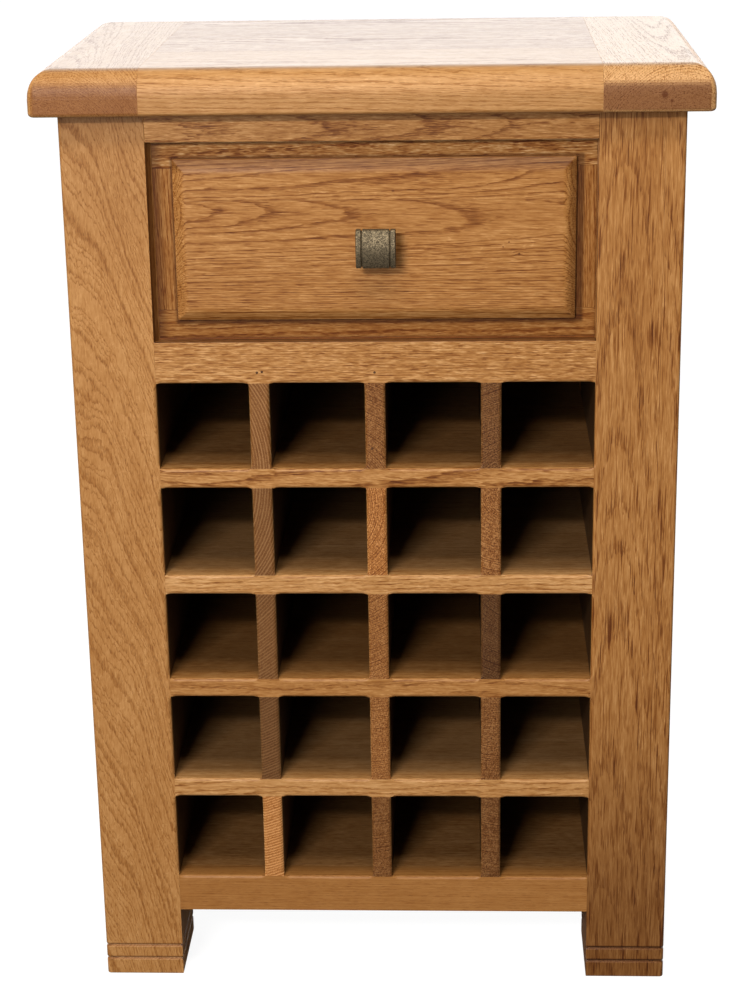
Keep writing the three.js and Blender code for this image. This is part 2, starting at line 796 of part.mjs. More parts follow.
function make_drawer() {
  const both = Object.values(sides);
  const full_x = drawer_x(both_ways(drawer_half));
  const stile_sockets = both.map((side) => socket(stile_tenons(side)));
  const top_rail = block({ x: full_x, y: frame_y, z: [frame_opening_z[1], drawer_z[1]] });
  const bottom_rail = block({ x: full_x, y: frame_y, z: [drawer_z[0], frame_opening_z[0]] });
  place('drawer_front_top_rail', all_cut(top_rail, stile_sockets), oak);
  place('drawer_front_bottom_rail', all_cut(bottom_rail, [...stile_sockets, socket(drawer_bottom_room)]), oak);
  place('drawer_raised_panel', raised_panel().subtract(knob_screw(fit)), oak);

  for (const [word, side] of Object.entries(sides)) {
    const stile_x = drawer_x(span(side, frame_opening_half, drawer_half));
    const stile = block({ x: stile_x, y: frame_y, z: frame_opening_z }).add(block(stile_tenons(side)));
    place(`drawer_front_stile_${word}`, all_cut(stile, tails(side, fit)), oak);

    const board = block({
      x: drawer_side_x(side),
      y: [frame_y[1], drawer_back_end],
      z: [drawer_floor + running_gap, drawer_z[1]],
    });
    const sockets = [socket(drawer_bottom_room), socket(drawer_back_room)];
    place(`drawer_side_${word}`, all_cut(all_added(board, tails(side, 0)), sockets), pale_oak);
  }
  place('drawer_back', block(drawer_back_room), pale_oak);
  place('drawer_bottom', block(drawer_bottom_room), pale_oak);
  place('drawer_knob', knob(), aged_brass);
  place('knob_screw', knob_screw(0), screw_steel);
}

make_posts();
make_front_rails();
make_side_frames();
make_linings();
make_back();
make_rack();
make_drawer_supports();
make_top();
make_top_screws();
make_drawer();

export default cabinet;
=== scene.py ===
"""Finish of an oak wine cabinet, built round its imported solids.

Lengths are metres. +X is the right of someone facing the front, +Y is to the back and +Z is up.
"""

import logging
import math
from collections.abc import Iterable, Mapping, Sequence
from dataclasses import dataclass, field, replace
from enum import Enum
from functools import reduce

import bmesh
import bpy
from mathutils import Euler, Matrix, Vector


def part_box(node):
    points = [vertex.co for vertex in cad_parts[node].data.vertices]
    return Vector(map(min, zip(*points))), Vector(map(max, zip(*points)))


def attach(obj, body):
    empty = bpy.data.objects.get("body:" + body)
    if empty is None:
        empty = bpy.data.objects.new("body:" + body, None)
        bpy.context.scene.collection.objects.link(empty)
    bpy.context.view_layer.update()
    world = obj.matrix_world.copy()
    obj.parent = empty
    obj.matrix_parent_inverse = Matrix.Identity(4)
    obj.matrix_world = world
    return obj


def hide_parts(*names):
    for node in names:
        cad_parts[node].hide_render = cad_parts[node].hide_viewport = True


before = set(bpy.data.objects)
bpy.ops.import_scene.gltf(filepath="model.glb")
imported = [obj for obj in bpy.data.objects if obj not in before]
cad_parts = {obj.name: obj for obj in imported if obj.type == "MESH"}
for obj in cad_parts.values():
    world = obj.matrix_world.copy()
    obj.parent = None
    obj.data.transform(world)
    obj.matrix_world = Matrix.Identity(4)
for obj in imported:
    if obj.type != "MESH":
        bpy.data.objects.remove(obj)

log = logging.getLogger("cabinet")

MM = 0.001
WELD = 0.001 * MM
FLAT_ANGLE = math.radians(0.4)
SMOOTH_ANGLE = math.radians(47)
FLAT_WIDTH = 1.5 * MM
EASED_ANGLE = math.radians(50)
EASED_LENGTH = 6
CLEAR_LENGTH = 1.6
QUARTER = math.pi / 2
FAR = 9.0
EVERYWHERE = (-FAR, FAR)
ORIGIN = (0.0, 0.0, 0.0)

Socket = bpy.types.NodeSocket
Value = float | Sequence[float] | Socket
Inputs = Mapping[int | str, Value]
Ring = list[Vector]
Pair = tuple[float, float]
Colour = tuple[float, float, float]


class Body(Enum):
    """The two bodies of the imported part."""

    CABINET = "cabinet"
    DRAWER = "drawer"


class Slot(Enum):
    """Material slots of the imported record."""

    OUTER = "lacquered_oak"
    INNER = "inner_oak"
    BRASS = "aged_brass"
    STEEL = "screw_steel"


class Grain(Enum):
    """Which way the fibres of a board run."""

    ACROSS = "x"
    DEPTH = "y"
    UP = "z"

    def turn(self) -> Matrix:
        """The turn that brings a board's own frame, with its fibres along x, into the cabinet's frame."""
        angle, axis = {"x": (0.0, "X"), "y": (QUARTER, "Z"), "z": (-QUARTER, "Y")}[self.value]
        return Matrix.Rotation(angle, 3, axis)


ACROSS, DEPTH, UP = Grain


# Nodes


class Wiring:
    """Adds and joins the nodes of one tree."""

    def __init__(self, tree: bpy.types.NodeTree) -> None:
        """Keeps the tree that the nodes go into."""
        self.tree = tree

    def add(self, kind: str, inputs: Inputs | None = None, **settings: object) -> bpy.types.Node:
        """Adds one node.

        Args:
            kind: The node's type name.
            inputs: What goes into its inputs, by number or name.
            settings: Properties to set on it.

        Returns:
            The new node.
        """
        node = self.tree.nodes.new(kind)
        for key, value in settings.items():
            setattr(node, key, value)
        for key, value in (inputs or {}).items():
            self.feed(node.inputs[key], value)
        return node

    def feed(self, entry: Socket, value: Value) -> None:
        """Joins a socket to an input, or sets the input to a number or colour."""
        if isinstance(value, bpy.types.NodeSocket):
            self.tree.links.new(value, entry)
        else:
            entry.default_value = value

    def math(self, operation: str, *values: Value) -> Socket:
        """The result of a Math node on the given values."""
        return self.add("ShaderNodeMath", dict(enumerate(values)), operation=operation).outputs[0]

    def times(self, *values: Value) -> Socket:
        """The product of all the values."""
        return reduce(lambda first, second: self.math("MULTIPLY", first, second), values)

    def plus(self, *values: Value) -> Socket:
        """The sum of all the values."""
        return reduce(lambda first, second: self.math("ADD", first, second), values)

    def minus(self, first: Value, second: Value) -> Socket:
        """The first value less the second."""
        return self.math("SUBTRACT", first, second)

    def scaled(self, value: Value, factor: Value, offset: Value) -> Socket:
        """A value times a factor, with an offset added."""
        return self.math("MULTIPLY_ADD", value, factor, offset)

    def clamped(self, value: Value, low: float, high: float) -> Socket:
        """A value kept between two numbers."""
        return self.math("MINIMUM", self.math("MAXIMUM", value, low), high)

    def centred(self, value: Value, size: Value) -> Socket:
        """A number from 0 to 1 made to swing about zero by the given size."""
        return self.times(self.minus(value, 0.5), size)

    def remap(self, value: Value, low: Value, high: Value, to: Pair = (0.0, 1.0)) -> Socket:
        """A smooth step from one number to another as the value goes from low to high."""
        inputs = dict(enumerate((value, low, high, *to)))
        return self.add("ShaderNodeMapRange", inputs, interpolation_type="SMOOTHSTEP").outputs[0]

    def fall(self, value: Value, low: Value, high: Value) -> Socket:
        """A smooth step down from 1 to 0 as the value goes from low to high."""
        return self.remap(value, low, high, (1.0, 0.0))

    def vector(self, operation: str, *values: Value) -> Socket:
        """The result of a Vector Math node.

        Args:
            operation: The node's operation.
            values: One value for each of its inputs, a number only for a scale.

        Returns:
            Its vector output, or its number where the operation gives one.
        """
        keys = (0, "Scale") if operation == "SCALE" else range(len(values))
        node = self.add("ShaderNodeVectorMath", dict(zip(keys, values)), operation=operation)
        gives_number = operation in ("LENGTH", "DOT_PRODUCT")
        return node.outputs["Value" if gives_number else "Vector"]

    def combine(self, *values: Value) -> Socket:
        """A vector from three numbers."""
        return self.add("ShaderNodeCombineXYZ", dict(enumerate(values))).outputs[0]

    def split(self, vector: Value) -> tuple[Socket, Socket, Socket]:
        """The three numbers of a vector."""
        return tuple(self.add("ShaderNodeSeparateXYZ", {0: vector}).outputs)

    def stretched(self, at: Sequence[Socket], along: float, across: float, seed: Value) -> Socket:
        """A place scaled by one number along the fibres and by another across them, moved by a seed."""
        x, y, z = at
        return self.combine(self.scaled(x, along, seed), self.times(y, across), self.times(z, across))

    def noise(self, at: Value, detail: float = 2.0, roughness: float = 0.5, output: str = "Fac") -> Socket:
        """Noise that is already scaled by its vector."""
        inputs = {"Vector": at, "Scale": 1.0, "Detail": detail, "Roughness": roughness}
        return self.add("ShaderNodeTexNoise", inputs).outputs[output]

    def chance(self, number: Value, output: str = "Value") -> Socket:
        """A random number or colour for each whole number."""
        return self.add("ShaderNodeTexWhiteNoise", {"W": number}, noise_dimensions="1D").outputs[output]

    def spots(self, at: Value) -> Socket:
        """The distance to the nearest of many scattered points."""
        return self.add("ShaderNodeTexVoronoi", {"Vector": at, "Scale": 1.0}).outputs["Distance"]

    def blend(self, share: Value, first: Value, second: Value, mode: str = "MIX") -> Socket:
        """Two colours mixed.

        Args:
            share: How much of the second colour.
            first: The first colour.
            second: The second colour.
            mode: The mix node's blend mode.

        Returns:
            The mixed colour.
        """
        colours = [one if isinstance(one, bpy.types.NodeSocket) else (*one, 1) for one in (first, second)]
        inputs = {0: share, 6: colours[0], 7: colours[1]}
        return self.add("ShaderNodeMix", inputs, data_type="RGBA", blend_type=mode).outputs[2]

    def tinted(self, share: Value, colour: Value, tint: Value) -> Socket:
        """A colour multiplied by a tint as far as its share goes."""
        return self.blend(share, colour, self.blend(1.0, colour, tint, "MULTIPLY"))

    def bump(self, height: Value, strength: float, distance: float) -> Socket:
        """The normal that a height gives to the surface."""
        inputs = {"Height": height, "Strength": strength, "Distance": distance}
        return self.add("ShaderNodeBump", inputs).outputs["Normal"]


class Effect:
    """A shader node group with named inputs and outputs, built once and used in many materials."""

    def __init__(self, name: str, inputs: dict[str, Value], outputs: Iterable[str]) -> None:
        """Makes the group with its sockets.

        Args:
            name: The group's name.
            inputs: The inputs after the first, Vector, with starting values, a tuple for a vector.
            outputs: The names of the outputs, where one named Vector is a vector.
        """
        self.tree = bpy.data.node_groups.new(name, "ShaderNodeTree")
        for key, value in {"Vector": ORIGIN, **inputs}.items():
            kind = "NodeSocketVector" if isinstance(value, tuple) else "NodeSocketFloat"
            socket = self.tree.interface.new_socket(name=key, in_out="INPUT", socket_type=kind)
            socket.default_value = value
        for key in outputs:
            kind = "NodeSocketVector" if key == "Vector" else "NodeSocketFloat"
            self.tree.interface.new_socket(name=key, in_out="OUTPUT", socket_type=kind)
        self.wiring = Wiring(self.tree)
        self.entry = self.wiring.add("NodeGroupInput")
        self.exit = self.wiring.add("NodeGroupOutput")

    def take(self, name: str) -> Socket:
        """The value of one of the group's inputs."""
        return self.entry.outputs[name]

    def give(self, **values: Value) -> None:
        """Sets outputs of the group, with _ for a space in a name."""
        for key, value in values.items():
            self.wiring.feed(self.exit.inputs[key.replace("_", " ")], value)

    def use(self, wiring: Wiring, **values: Value) -> bpy.types.NodeOutputs:
        """Places the group in another tree.

        Args:
            wiring: Where it goes.
            values: Its inputs by name, with _ for a space.

        Returns:
            The outputs of the placed group.
        """
        inputs = {key.replace("_", " "): value for key, value in values.items()}
        return wiring.add("ShaderNodeGroup", inputs, node_tree=self.tree).outputs


# How often each mark comes in a metre, along and across the fibres.
BENDS = (3.2, 14.0)
RIPPLES = (38.0, 60.0)
JAGS = (62.0, 300.0)
PORES = (120.0, 1500.0)
PORE_ROWS = (88.0, 860.0)

# The same for rays: along the fibres, outwards from the pith and round it.
RAYS = (110.0, 130.0, 1400.0)


def growth_rings() -> Effect:
    """Growth rings round the pith, which lies on the x axis of the board's own frame."""
    inputs = {"Ring Width": 0.003, "Wander": 0.006, "Uneven": 3.0, "Jag": 0.9, "Swell": 0.0, "Seed": 0.0}
    effect = Effect("growth rings", inputs, ("Early Wood", "Edge", "Ring Tone", "Radius", "Angle"))
    w, take = effect.wiring, effect.take
    x, y, z = w.split(take("Vector"))
    width, wander, seed = take("Ring Width"), take("Wander"), take("Seed")

    bend = w.split(w.noise(w.stretched((x, y, z), *BENDS, seed), 1.5, output="Color"))
    y = w.plus(y, w.centred(bend[0], wander))
    z = w.plus(z, w.centred(bend[1], wander))

    radius = w.plus(w.vector("LENGTH", w.combine(0.0, y, z)), take("Swell"))
    ripple, jag = w.times(wander, 0.1), w.times(width, take("Jag"))
    for (along, across), size in ((RIPPLES, ripple), (JAGS, jag)):
        at = w.combine(w.times(x, along), w.times(y, across), w.scaled(z, across, seed))
        radius = w.plus(radius, w.centred(w.noise(at, roughness=0.6), size))

    pace_at = w.plus(w.math("DIVIDE", radius, w.times(width, 4.0)), seed)
    pace = w.add("ShaderNodeTexNoise", noise_dimensions="1D")
    for name, value in (("W", pace_at), ("Scale", 1.0)):
        w.feed(pace.inputs[name], value)
    turns = w.plus(w.math("DIVIDE", radius, width), w.centred(pace.outputs["Fac"], take("Uneven")))
    part = w.math("FRACT", turns)
    effect.give(
        Early_Wood=w.times(w.remap(part, 0.0, 0.08), w.fall(part, 0.1, 0.6)),
        Edge=w.times(w.remap(part, 0.0, 0.07), w.fall(part, 0.08, 0.3)),
        Ring_Tone=w.chance(w.plus(w.math("FLOOR", turns), seed)),
        Radius=radius,
        Angle=w.math("ARCTAN2", z, y),
    )
    return effect


def pores() -> Effect:
    """Open pores and rows of them: dashes along the fibres, dots on end grain, more in the early wood."""
    effect = Effect("pores", {"Early Wood": 0.0, "Seed": 0.0}, ("Pores", "Rows"))
    w, early, seed = effect.wiring, effect.take("Early Wood"), effect.take("Seed")
    at = w.split(effect.take("Vector"))
    reach = w.scaled(early, 0.3, 0.16)
    level = w.scaled(early, -0.12, 0.62)
    streak = w.noise(w.stretched(at, *PORE_ROWS, seed), 1.0)
    effect.give(
        Pores=w.fall(w.spots(w.stretched(at, *PORES, seed)), w.minus(reach, 0.12), reach),
        Rows=w.remap(streak, level, w.plus(level, 0.1)),
    )
    return effect


# Scales along and across the fibres, and detail.
FIBRES = {
    "Fine": (85.0, 640.0, 2.0),
    "Medium": (22.0, 250.0, 2.0),
    "Broad": (3.0, 34.0, 2.0),
    "Silk": (45.0, 60.0, 2.0),
    "Lines": (24.0, 640.0, 1.0),
}


def fibres() -> Effect:
    """Streaks along the fibres at several sizes, each from 0 to 1, and sparse dark lines."""
    effect = Effect("fibres", {"Seed": 0.0}, FIBRES)
    w, at, seed = effect.wiring, effect.wiring.split(effect.take("Vector")), effect.take("Seed")
    for name, (along, across, detail) in FIBRES.items():
        value = w.noise(w.stretched(at, along, across, seed), detail, 0.6)
        effect.give(**{name: w.remap(value, 0.57, 0.68) if name == "Lines" else value})
    return effect


def ray_flecks() -> Effect:
    """Rays: thin ticks on flat-sawn faces and wide flecks on faces that run towards the pith."""
    effect = Effect("ray flecks", {"Radius": 0.1, "Angle": 0.0}, ("Flecks",))
    w, radius = effect.wiring, effect.take("Radius")
    x = w.split(effect.take("Vector"))[0]
    places = (x, radius, w.times(radius, effect.take("Angle")))
    at = w.combine(*(w.times(place, often) for place, often in zip(places, RAYS)))
    effect.give(Flecks=w.fall(w.spots(at), 0.12, 0.34))
    return effect


STAVES = ("First", "Second", "Third", "Fourth", "Fifth")
STAVE_THROW = (1.6, 0.08, 0.12)
GLUE_LINE = 0.45 * MM


def glue_up() -> Effect:
    """Boards glued side by side: each stave gets its own place in the tree and its own tone."""
    inputs: dict[str, Value] = {"Across": 0.0, "Shift": 1.0, "Seed": 0.0}
    inputs.update({f"{name} Joint": FAR for name in STAVES[:-1]})
    inputs.update({f"{name} Tone": 0.0 for name in STAVES})
    effect = Effect("glued staves", inputs, ("Vector", "Tone", "Line"))
    w, take = effect.wiring, effect.take
    index: Value = 0.0
    tone: Value = take("First Tone")
    nearest: Value = FAR
    for before, after in zip(STAVES, STAVES[1:]):
        joint = take(f"{before} Joint")
        past = w.math("GREATER_THAN", take("Across"), joint)
        index = w.plus(index, past)
        tone = w.scaled(past, w.minus(take(f"{after} Tone"), take(f"{before} Tone")), tone)
        nearest = w.math("MINIMUM", nearest, w.math("ABSOLUTE", w.minus(take("Across"), joint)))
    throw = w.vector("SUBTRACT", w.chance(w.plus(index, take("Seed")), "Color"), (0.5, 0.5, 0.5))
    throw = w.vector("MULTIPLY", throw, STAVE_THROW)
    throw = w.vector("SCALE", throw, w.times(take("Shift"), w.math("MINIMUM", index, 1.0)))
    line = w.fall(nearest, 0.0, GLUE_LINE)
    effect.give(Vector=w.vector("ADD", take("Vector"), throw), Tone=tone, Line=line)
    return effect


def painted_cell_shade() -> Effect:
    """Painted shade on the faces behind the front edges of the rack, darker deeper into the cells."""
    inputs = {"Front": 0.0, "Bottom": 0.0, "Half Width": 0.0, "Start": 1.5 * MM, "Fade": 20 * MM}
    effect = Effect("painted cell shade", inputs, ("Mask",))
    w, take = effect.wiring, effect.take
    x, y, z = w.split(take("Vector"))
    end = w.scaled(take("Start"), 2.0, take("Fade"))
    depth = w.remap(w.minus(y, take("Front")), take("Start"), end)
    within = w.remap(w.minus(take("Half Width"), w.math("ABSOLUTE", x)), -0.1 * MM, 0.3 * MM)
    above = w.remap(w.minus(z, take("Bottom")), 0.0, MM)
    effect.give(Mask=w.times(depth, within, above))
    return effect


def shade() -> Effect:
    """Darkening beyond a box, mostly painted shade: nothing inside it, full strength at its reach outside."""
    inputs = {"Middle": ORIGIN, "Half": (1.0, 1.0, 1.0), "Reach": (1.0, 1.0, 1.0)}
    effect = Effect("painted shade", inputs, ("Beyond",))
    w, take = effect.wiring, effect.take
    away = w.vector("ABSOLUTE", w.vector("SUBTRACT", take("Vector"), take("Middle")))
    outside = w.vector("MAXIMUM", w.vector("SUBTRACT", away, take("Half")), ORIGIN)
    distance = w.vector("LENGTH", w.vector("DIVIDE", outside, take("Reach")))
    effect.give(Beyond=w.remap(distance, 0.0, 1.0))
    return effect


def knot() -> Effect:
    """A small knot: a dark core, and a swelling that leads the growth rings round it."""
    inputs = {"Centre": ORIGIN, "Reach": (1.0, 1.0, 1.0), "Size": 0.004}
    effect = Effect("knot", inputs, ("Swell", "Core"))
    w, at, size = effect.wiring, effect.take("Vector"), effect.take("Size")
    away = w.vector("MULTIPLY", w.vector("SUBTRACT", at, effect.take("Centre")), effect.take("Reach"))
    ragged = w.centred(w.noise(w.vector("SCALE", at, 420.0)), w.times(size, 0.9))
    distance = w.plus(w.vector("LENGTH", away), ragged)
    swell = w.fall(distance, 0.0, w.times(size, 5.0))
    effect.give(Swell=w.times(swell, swell, size), Core=w.fall(distance, w.times(size, 0.35), size))
    return effect


@dataclass(frozen=True)
class Effects:
    """The shared shader effects."""

    rings: Effect = field(default_factory=growth_rings)
    pores: Effect = field(default_factory=pores)
    fibres: Effect = field(default_factory=fibres)
    flecks: Effect = field(default_factory=ray_flecks)
    glue: Effect = field(default_factory=glue_up)
    knot: Effect = field(default_factory=knot)
    inside: Effect = field(default_factory=painted_cell_shade)
    shade: Effect = field(default_factory=shade)


EFFECTS = Effects()


# Finishes


@dataclass(frozen=True)
class Knot:
    """A knot at a place in the cabinet's frame, whose swelling leads the growth rings round it."""

    centre: tuple[float, float, float]
    size: float = 3 * MM
    reach: tuple[float, float, float] = (1.0, 0.15, 1.0)
    swelling: float = 1.0
    core: float = 0.85


@dataclass(frozen=True)
class Shade:
    """Colour darkened on a front, beyond or within a box given by its ranges along x and z, mostly painted
    shade.
    """

    x: Pair
    z: Pair
    reach: Pair
    depth: float = 0.8
    within: bool = False


@dataclass(frozen=True)
class Figure:
    """How one board was cut from the tree.

    The pith is given as its offset from the middle of the board in the board's own frame, whose x runs
    along the fibres. The lean is in degrees, first about that frame's z, which draws cathedrals on the
    front, then about its y, which slants the lines.
    """

    grain: Grain = ACROSS
    pith: Pair = (0.06, 0.01)
    lean: Pair = (1.2, 0.4)
    ring_width: float = 2.2 * MM
    wander: float = 8 * MM
    strength: float = 1.0
    tone: float = 0.0
    seed: float = 0.0
    joints: tuple[float, ...] = ()
    joint_axis: int = 0
    joint_way: int = 1
    stave_tones: tuple[float, ...] = ()
    shift: float = 1.0
    knots: tuple[Knot, ...] = ()
    # Darkening boxes, mostly painted shade in corners, recesses and under overhangs.
    shades: tuple[Shade, ...] = ()
    lines: float = 1.0
    grit: float = 1.0
    uneven: float = 3.0
    jag: float = 0.9
    bands: float = 1.0
    stretch: float = 1.0
    cut: Pair = (0.35, 0.95)
    cut_depth: float = 1.0
    # Painted glare on level faces: how much coat they gain.
    top_glare: float = 0.0
    gloss: float = 1.0
    # How far painted shade darkens the faces inside the rack's cells, and how deep it takes to reach full.
    cell_shade: float = 0.0
    fade: float = 28 * MM


class Wood:
    """One board's wood as values in a material's node tree.

    STREAKS says how far each size of streak changes the stain, the finest before a figure's own grit.
    """

    STREAKS = {"Fine": 0.95, "Medium": 0.2, "Broad": 0.28, "Silk": 0.16}
    PORE_STAIN = 0.33
    PLAIN_STAIN = 0.18

    def __init__(self, wiring: Wiring, figure: Figure, middle: Vector) -> None:
        """Sets the board in its tree and adds what shows on its faces.

        Args:
            wiring: The wiring of the board's material.
            figure: How the board was cut.
            middle: The middle of the board.
        """
        w = self.wiring = wiring
        self.figure = figure
        place = w.add("ShaderNodeTexCoord").outputs
        self.place, self.normal = place["Object"], place["Normal"]
        self.glue = self.glued(self.in_own_frame(middle))
        at = self.glue["Vector"]
        swell = self.knots()
        self.rings = EFFECTS.rings.use(
            w, Vector=at, Ring_Width=figure.ring_width, Wander=figure.wander, Uneven=figure.uneven,
            Jag=figure.jag, Swell=swell, Seed=figure.seed,
        )
        early = self.rings["Early Wood"]
        fine_at = at if figure.stretch == 1.0 else w.vector("MULTIPLY", at, (1 / figure.stretch, 1.0, 1.0))
        self.pores = EFFECTS.pores.use(w, Vector=fine_at, Early_Wood=early, Seed=figure.seed)
        self.threads = EFFECTS.fibres.use(w, Vector=fine_at, Seed=figure.seed)
        radius, angle = self.rings["Radius"], self.rings["Angle"]
        self.flecks = EFFECTS.flecks.use(w, Vector=at, Radius=radius, Angle=angle)["Flecks"]
        along = figure.grain.turn() @ Vector((1, 0, 0))
        facing = w.vector("DOT_PRODUCT", self.normal, tuple(along))
        self.cut_across = w.remap(w.math("ABSOLUTE", facing), *figure.cut)

    def in_own_frame(self, middle: Vector) -> Socket:
        """Turns places into the frame whose x axis is the pith.

        Args:
            middle: The middle of the board.

        Returns:
            The places in that frame.
        """
        turn = self.figure.grain.turn()
        about_z, about_y = (math.radians(angle) for angle in self.figure.lean)
        lean = Matrix.Rotation(about_z, 3, "Z") @ Matrix.Rotation(about_y, 3, "Y")
        inputs = {
            "Vector": self.place,
            "Location": middle + turn @ Vector((0, *self.figure.pith)),
            "Rotation": (turn @ lean).to_euler("XYZ"),
        }
        return self.wiring.add("ShaderNodeMapping", inputs, vector_type="TEXTURE").outputs["Vector"]

    def glued(self, at: Socket) -> bpy.types.NodeOutputs:
        """Parts the board into staves, each moved to its own place in the tree.

        Args:
            at: Places in the board's own frame.

        Returns:
            The outputs of the group that does it.
        """
        w, figure = self.wiring, self.figure
        across = w.times(w.split(self.place)[figure.joint_axis], float(figure.joint_way))
        staves = {f"{name}_Joint": joint * figure.joint_way for name, joint in zip(STAVES, figure.joints)}
        staves.update({f"{name}_Tone": tone for name, tone in zip(STAVES, figure.stave_tones)})
        return EFFECTS.glue.use(w, Vector=at, Across=across, Shift=figure.shift, Seed=figure.seed, **staves)

    def knots(self) -> Value:
        """Adds the knots and gives how far they swell the growth rings."""
        w = self.wiring
        swell: Value = 0.0
        self.core: Value = 0.0
        for item in self.figure.knots:
            eye = EFFECTS.knot.use(w, Vector=self.place, Centre=item.centre, Reach=item.reach, Size=item.size)
            swell = w.scaled(eye["Swell"], item.swelling, swell)
            self.core = w.math("MAXIMUM", self.core, w.times(eye["Core"], item.core))
        return swell

    def depth(self) -> Socket:
        """How deep the stain has gone in at each point, from 0 to about 1."""
        w, figure, threads = self.wiring, self.figure, self.threads
        early = self.rings["Early Wood"]
        ring_depth = w.scaled(self.rings["Ring Tone"], 0.08 * figure.bands, 0.04 * figure.bands)
        depth = w.scaled(self.rings["Edge"], 0.2, w.times(early, ring_depth))
        depth = w.times(depth, figure.strength)
        for name, size in self.STREAKS.items():
            swing = size * figure.grit if name == "Fine" else size
            depth = w.plus(depth, w.centred(threads[name], swing))
        depth = w.scaled(self.pores["Rows"], self.PORE_STAIN * figure.grit, depth)
        dark_lines = w.times(threads["Lines"], w.scaled(early, 0.2, 0.2))
        depth = w.scaled(dark_lines, figure.lines, depth)
        rays = w.times(self.flecks, w.scaled(self.cut_across, 0.3, 0.1))
        return w.minus(w.plus(depth, self.PLAIN_STAIN - figure.tone), rays)

    def with_painted_shade(self, colour: Socket, shade_tint: Colour) -> Socket:
        """The colour with painted shade inside the rack's cells and in each darkening box.

        Args:
            colour: The board's colour.
            shade_tint: What the painted shade leaves of the colour.

        Returns:
            The darker colour.
        """
        w, figure, at = self.wiring, self.figure, self.place
        # Painted shade inside the rack's cells, nearly grey.
        if figure.cell_shade:
            mask = EFFECTS.inside.use(
                w, Vector=at, Front=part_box("rack_shelf_1")[0].y, Bottom=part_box("bottom_rail")[0].z,
                Half_Width=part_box("front_post_right")[0].x + 0.3 * MM, Fade=figure.fade,
            )["Mask"]
            colour = w.tinted(mask, colour, tuple(figure.cell_shade**power for power in (1.0, 0.98, 0.9)))
        # Darkening boxes, mostly painted shade.
        for item in figure.shades:
            (x0, x1), (z0, z1) = item.x, item.z
            beyond = EFFECTS.shade.use(
                w, Vector=at, Middle=((x0 + x1) / 2, 0.0, (z0 + z1) / 2),
                Half=((x1 - x0) / 2, FAR, (z1 - z0) / 2), Reach=(item.reach[0], 1.0, item.reach[1]),
            )["Beyond"]
            share = w.minus(1.0, beyond) if item.within else beyond
            colour = w.tinted(w.times(share, item.depth), colour, shade_tint)
        return colour


def new_material(name: str) -> tuple[bpy.types.Material, Wiring, bpy.types.NodeInputs]:
    """A new material, its wiring and the inputs of its shader."""
    material = bpy.data.materials.new(name)
    material.use_nodes = True
    return material, Wiring(material.node_tree), material.node_tree.nodes["Principled BSDF"].inputs


@dataclass(frozen=True)
class OakFinish:
    """Solid oak under stain and lacquer."""

    name: str = "lacquered"
    slot: Slot = Slot.OUTER
    pale: Colour = (0.55, 0.285, 0.105)
    deep: Colour = (0.183, 0.056, 0.0078)
    pore: Colour = (0.10, 0.024, 0.003)
    end: Colour = (0.66, 0.54, 0.44)
    roughness: float = 0.46
    coat: float = 0.1
    coat_roughness: float = 0.38
    specular: float = 0.22
    # Tint of the painted shade: what full shade leaves of the colour.
    shade_tint: Colour = (0.28, 0.2, 0.12)
    # Painted glare: the tint of level faces.
    glare_tint: Colour = (0.7, 0.78, 0.95)
    stain_range: Pair = (-0.15, 1.5)
    end_share: float = 0.8
    pore_share: float = 0.4
    level_range: Pair = (0.86, 0.99)
    relief: float = 0.35
    relief_depth: float = 0.25 * MM

    def material(self, name: str, figure: Figure, middle: Vector) -> bpy.types.Material:
        """Makes the material of one board.

        Args:
            name: The material's name.
            figure: How the board was cut.
            middle: The middle of the board.

        Returns:
            The finished material.
        """
        material, w, shader = new_material(name)
        wood = Wood(w, figure, middle)
        depth = wood.depth()
        stain = w.add("ShaderNodeGamma")
        w.feed(stain.inputs["Color"], (*(d / p for d, p in zip(self.deep, self.pale)), 1))
        w.feed(stain.inputs["Gamma"], w.clamped(depth, *self.stain_range))
        colour = w.blend(1.0, stain.outputs[0], self.pale, "MULTIPLY")
        if figure.stave_tones:
            colour = w.blend(1.0, colour, w.math("POWER", 3.0, wood.glue["Tone"]), "MULTIPLY")
        # Painted shade inside the cells and in the darkening boxes.
        colour = wood.with_painted_shade(colour, self.shade_tint)
        end = tuple(share**figure.cut_depth for share in self.end)
        colour = w.blend(w.times(wood.cut_across, self.end_share), colour, end, "MULTIPLY")
        holes, share = wood.pores["Pores"], self.pore_share
        for mask in (w.times(holes, share), wood.core, w.times(wood.glue["Line"], share)):
            colour = w.blend(mask, colour, self.pore)
        coat: Value = self.coat * figure.gloss
        # Painted glare on level faces: their colour is tinted greyer and their coat raised, less over dark
        # lines.
        if figure.top_glare:
            level = w.remap(w.split(wood.normal)[2], *self.level_range)
            level = w.times(level, w.remap(depth, 1.1, 0.15, (0.3, 1.0)))
            colour = w.tinted(level, colour, self.glare_tint)
            coat = w.scaled(level, figure.top_glare, coat)

        silk, fine = wood.threads["Silk"], wood.threads["Fine"]
        dull = w.scaled(holes, 0.2, self.roughness)
        height = w.scaled(wood.pores["Rows"], -0.5, w.centred(fine, 0.6))
        height = w.minus(height, w.times(wood.rings["Edge"], 0.2))
        values = {
            "Base Color": colour,
            "Roughness": w.plus(dull, w.centred(silk, 0.12)),
            "Normal": w.bump(height, self.relief, self.relief_depth),
            "Specular IOR Level": self.specular,
            "Coat Weight": coat,
            "Coat Roughness": self.coat_roughness,
        }
        for key, value in values.items():
            w.feed(shader[key], value)
        return material


OUTER = OakFinish()
FRAME = replace(OUTER, name="dulled", pale=(0.495, 0.28, 0.12), specular=0.13)
INNER = OakFinish(
    name="inner",
    slot=Slot.INNER,
    pale=(0.62, 0.37, 0.17),
    deep=(0.30, 0.12, 0.028),
    pore=(0.16, 0.06, 0.015),
    end=(0.7, 0.62, 0.56),
    roughness=0.55,
    coat=0.08,
    coat_roughness=0.35,
)


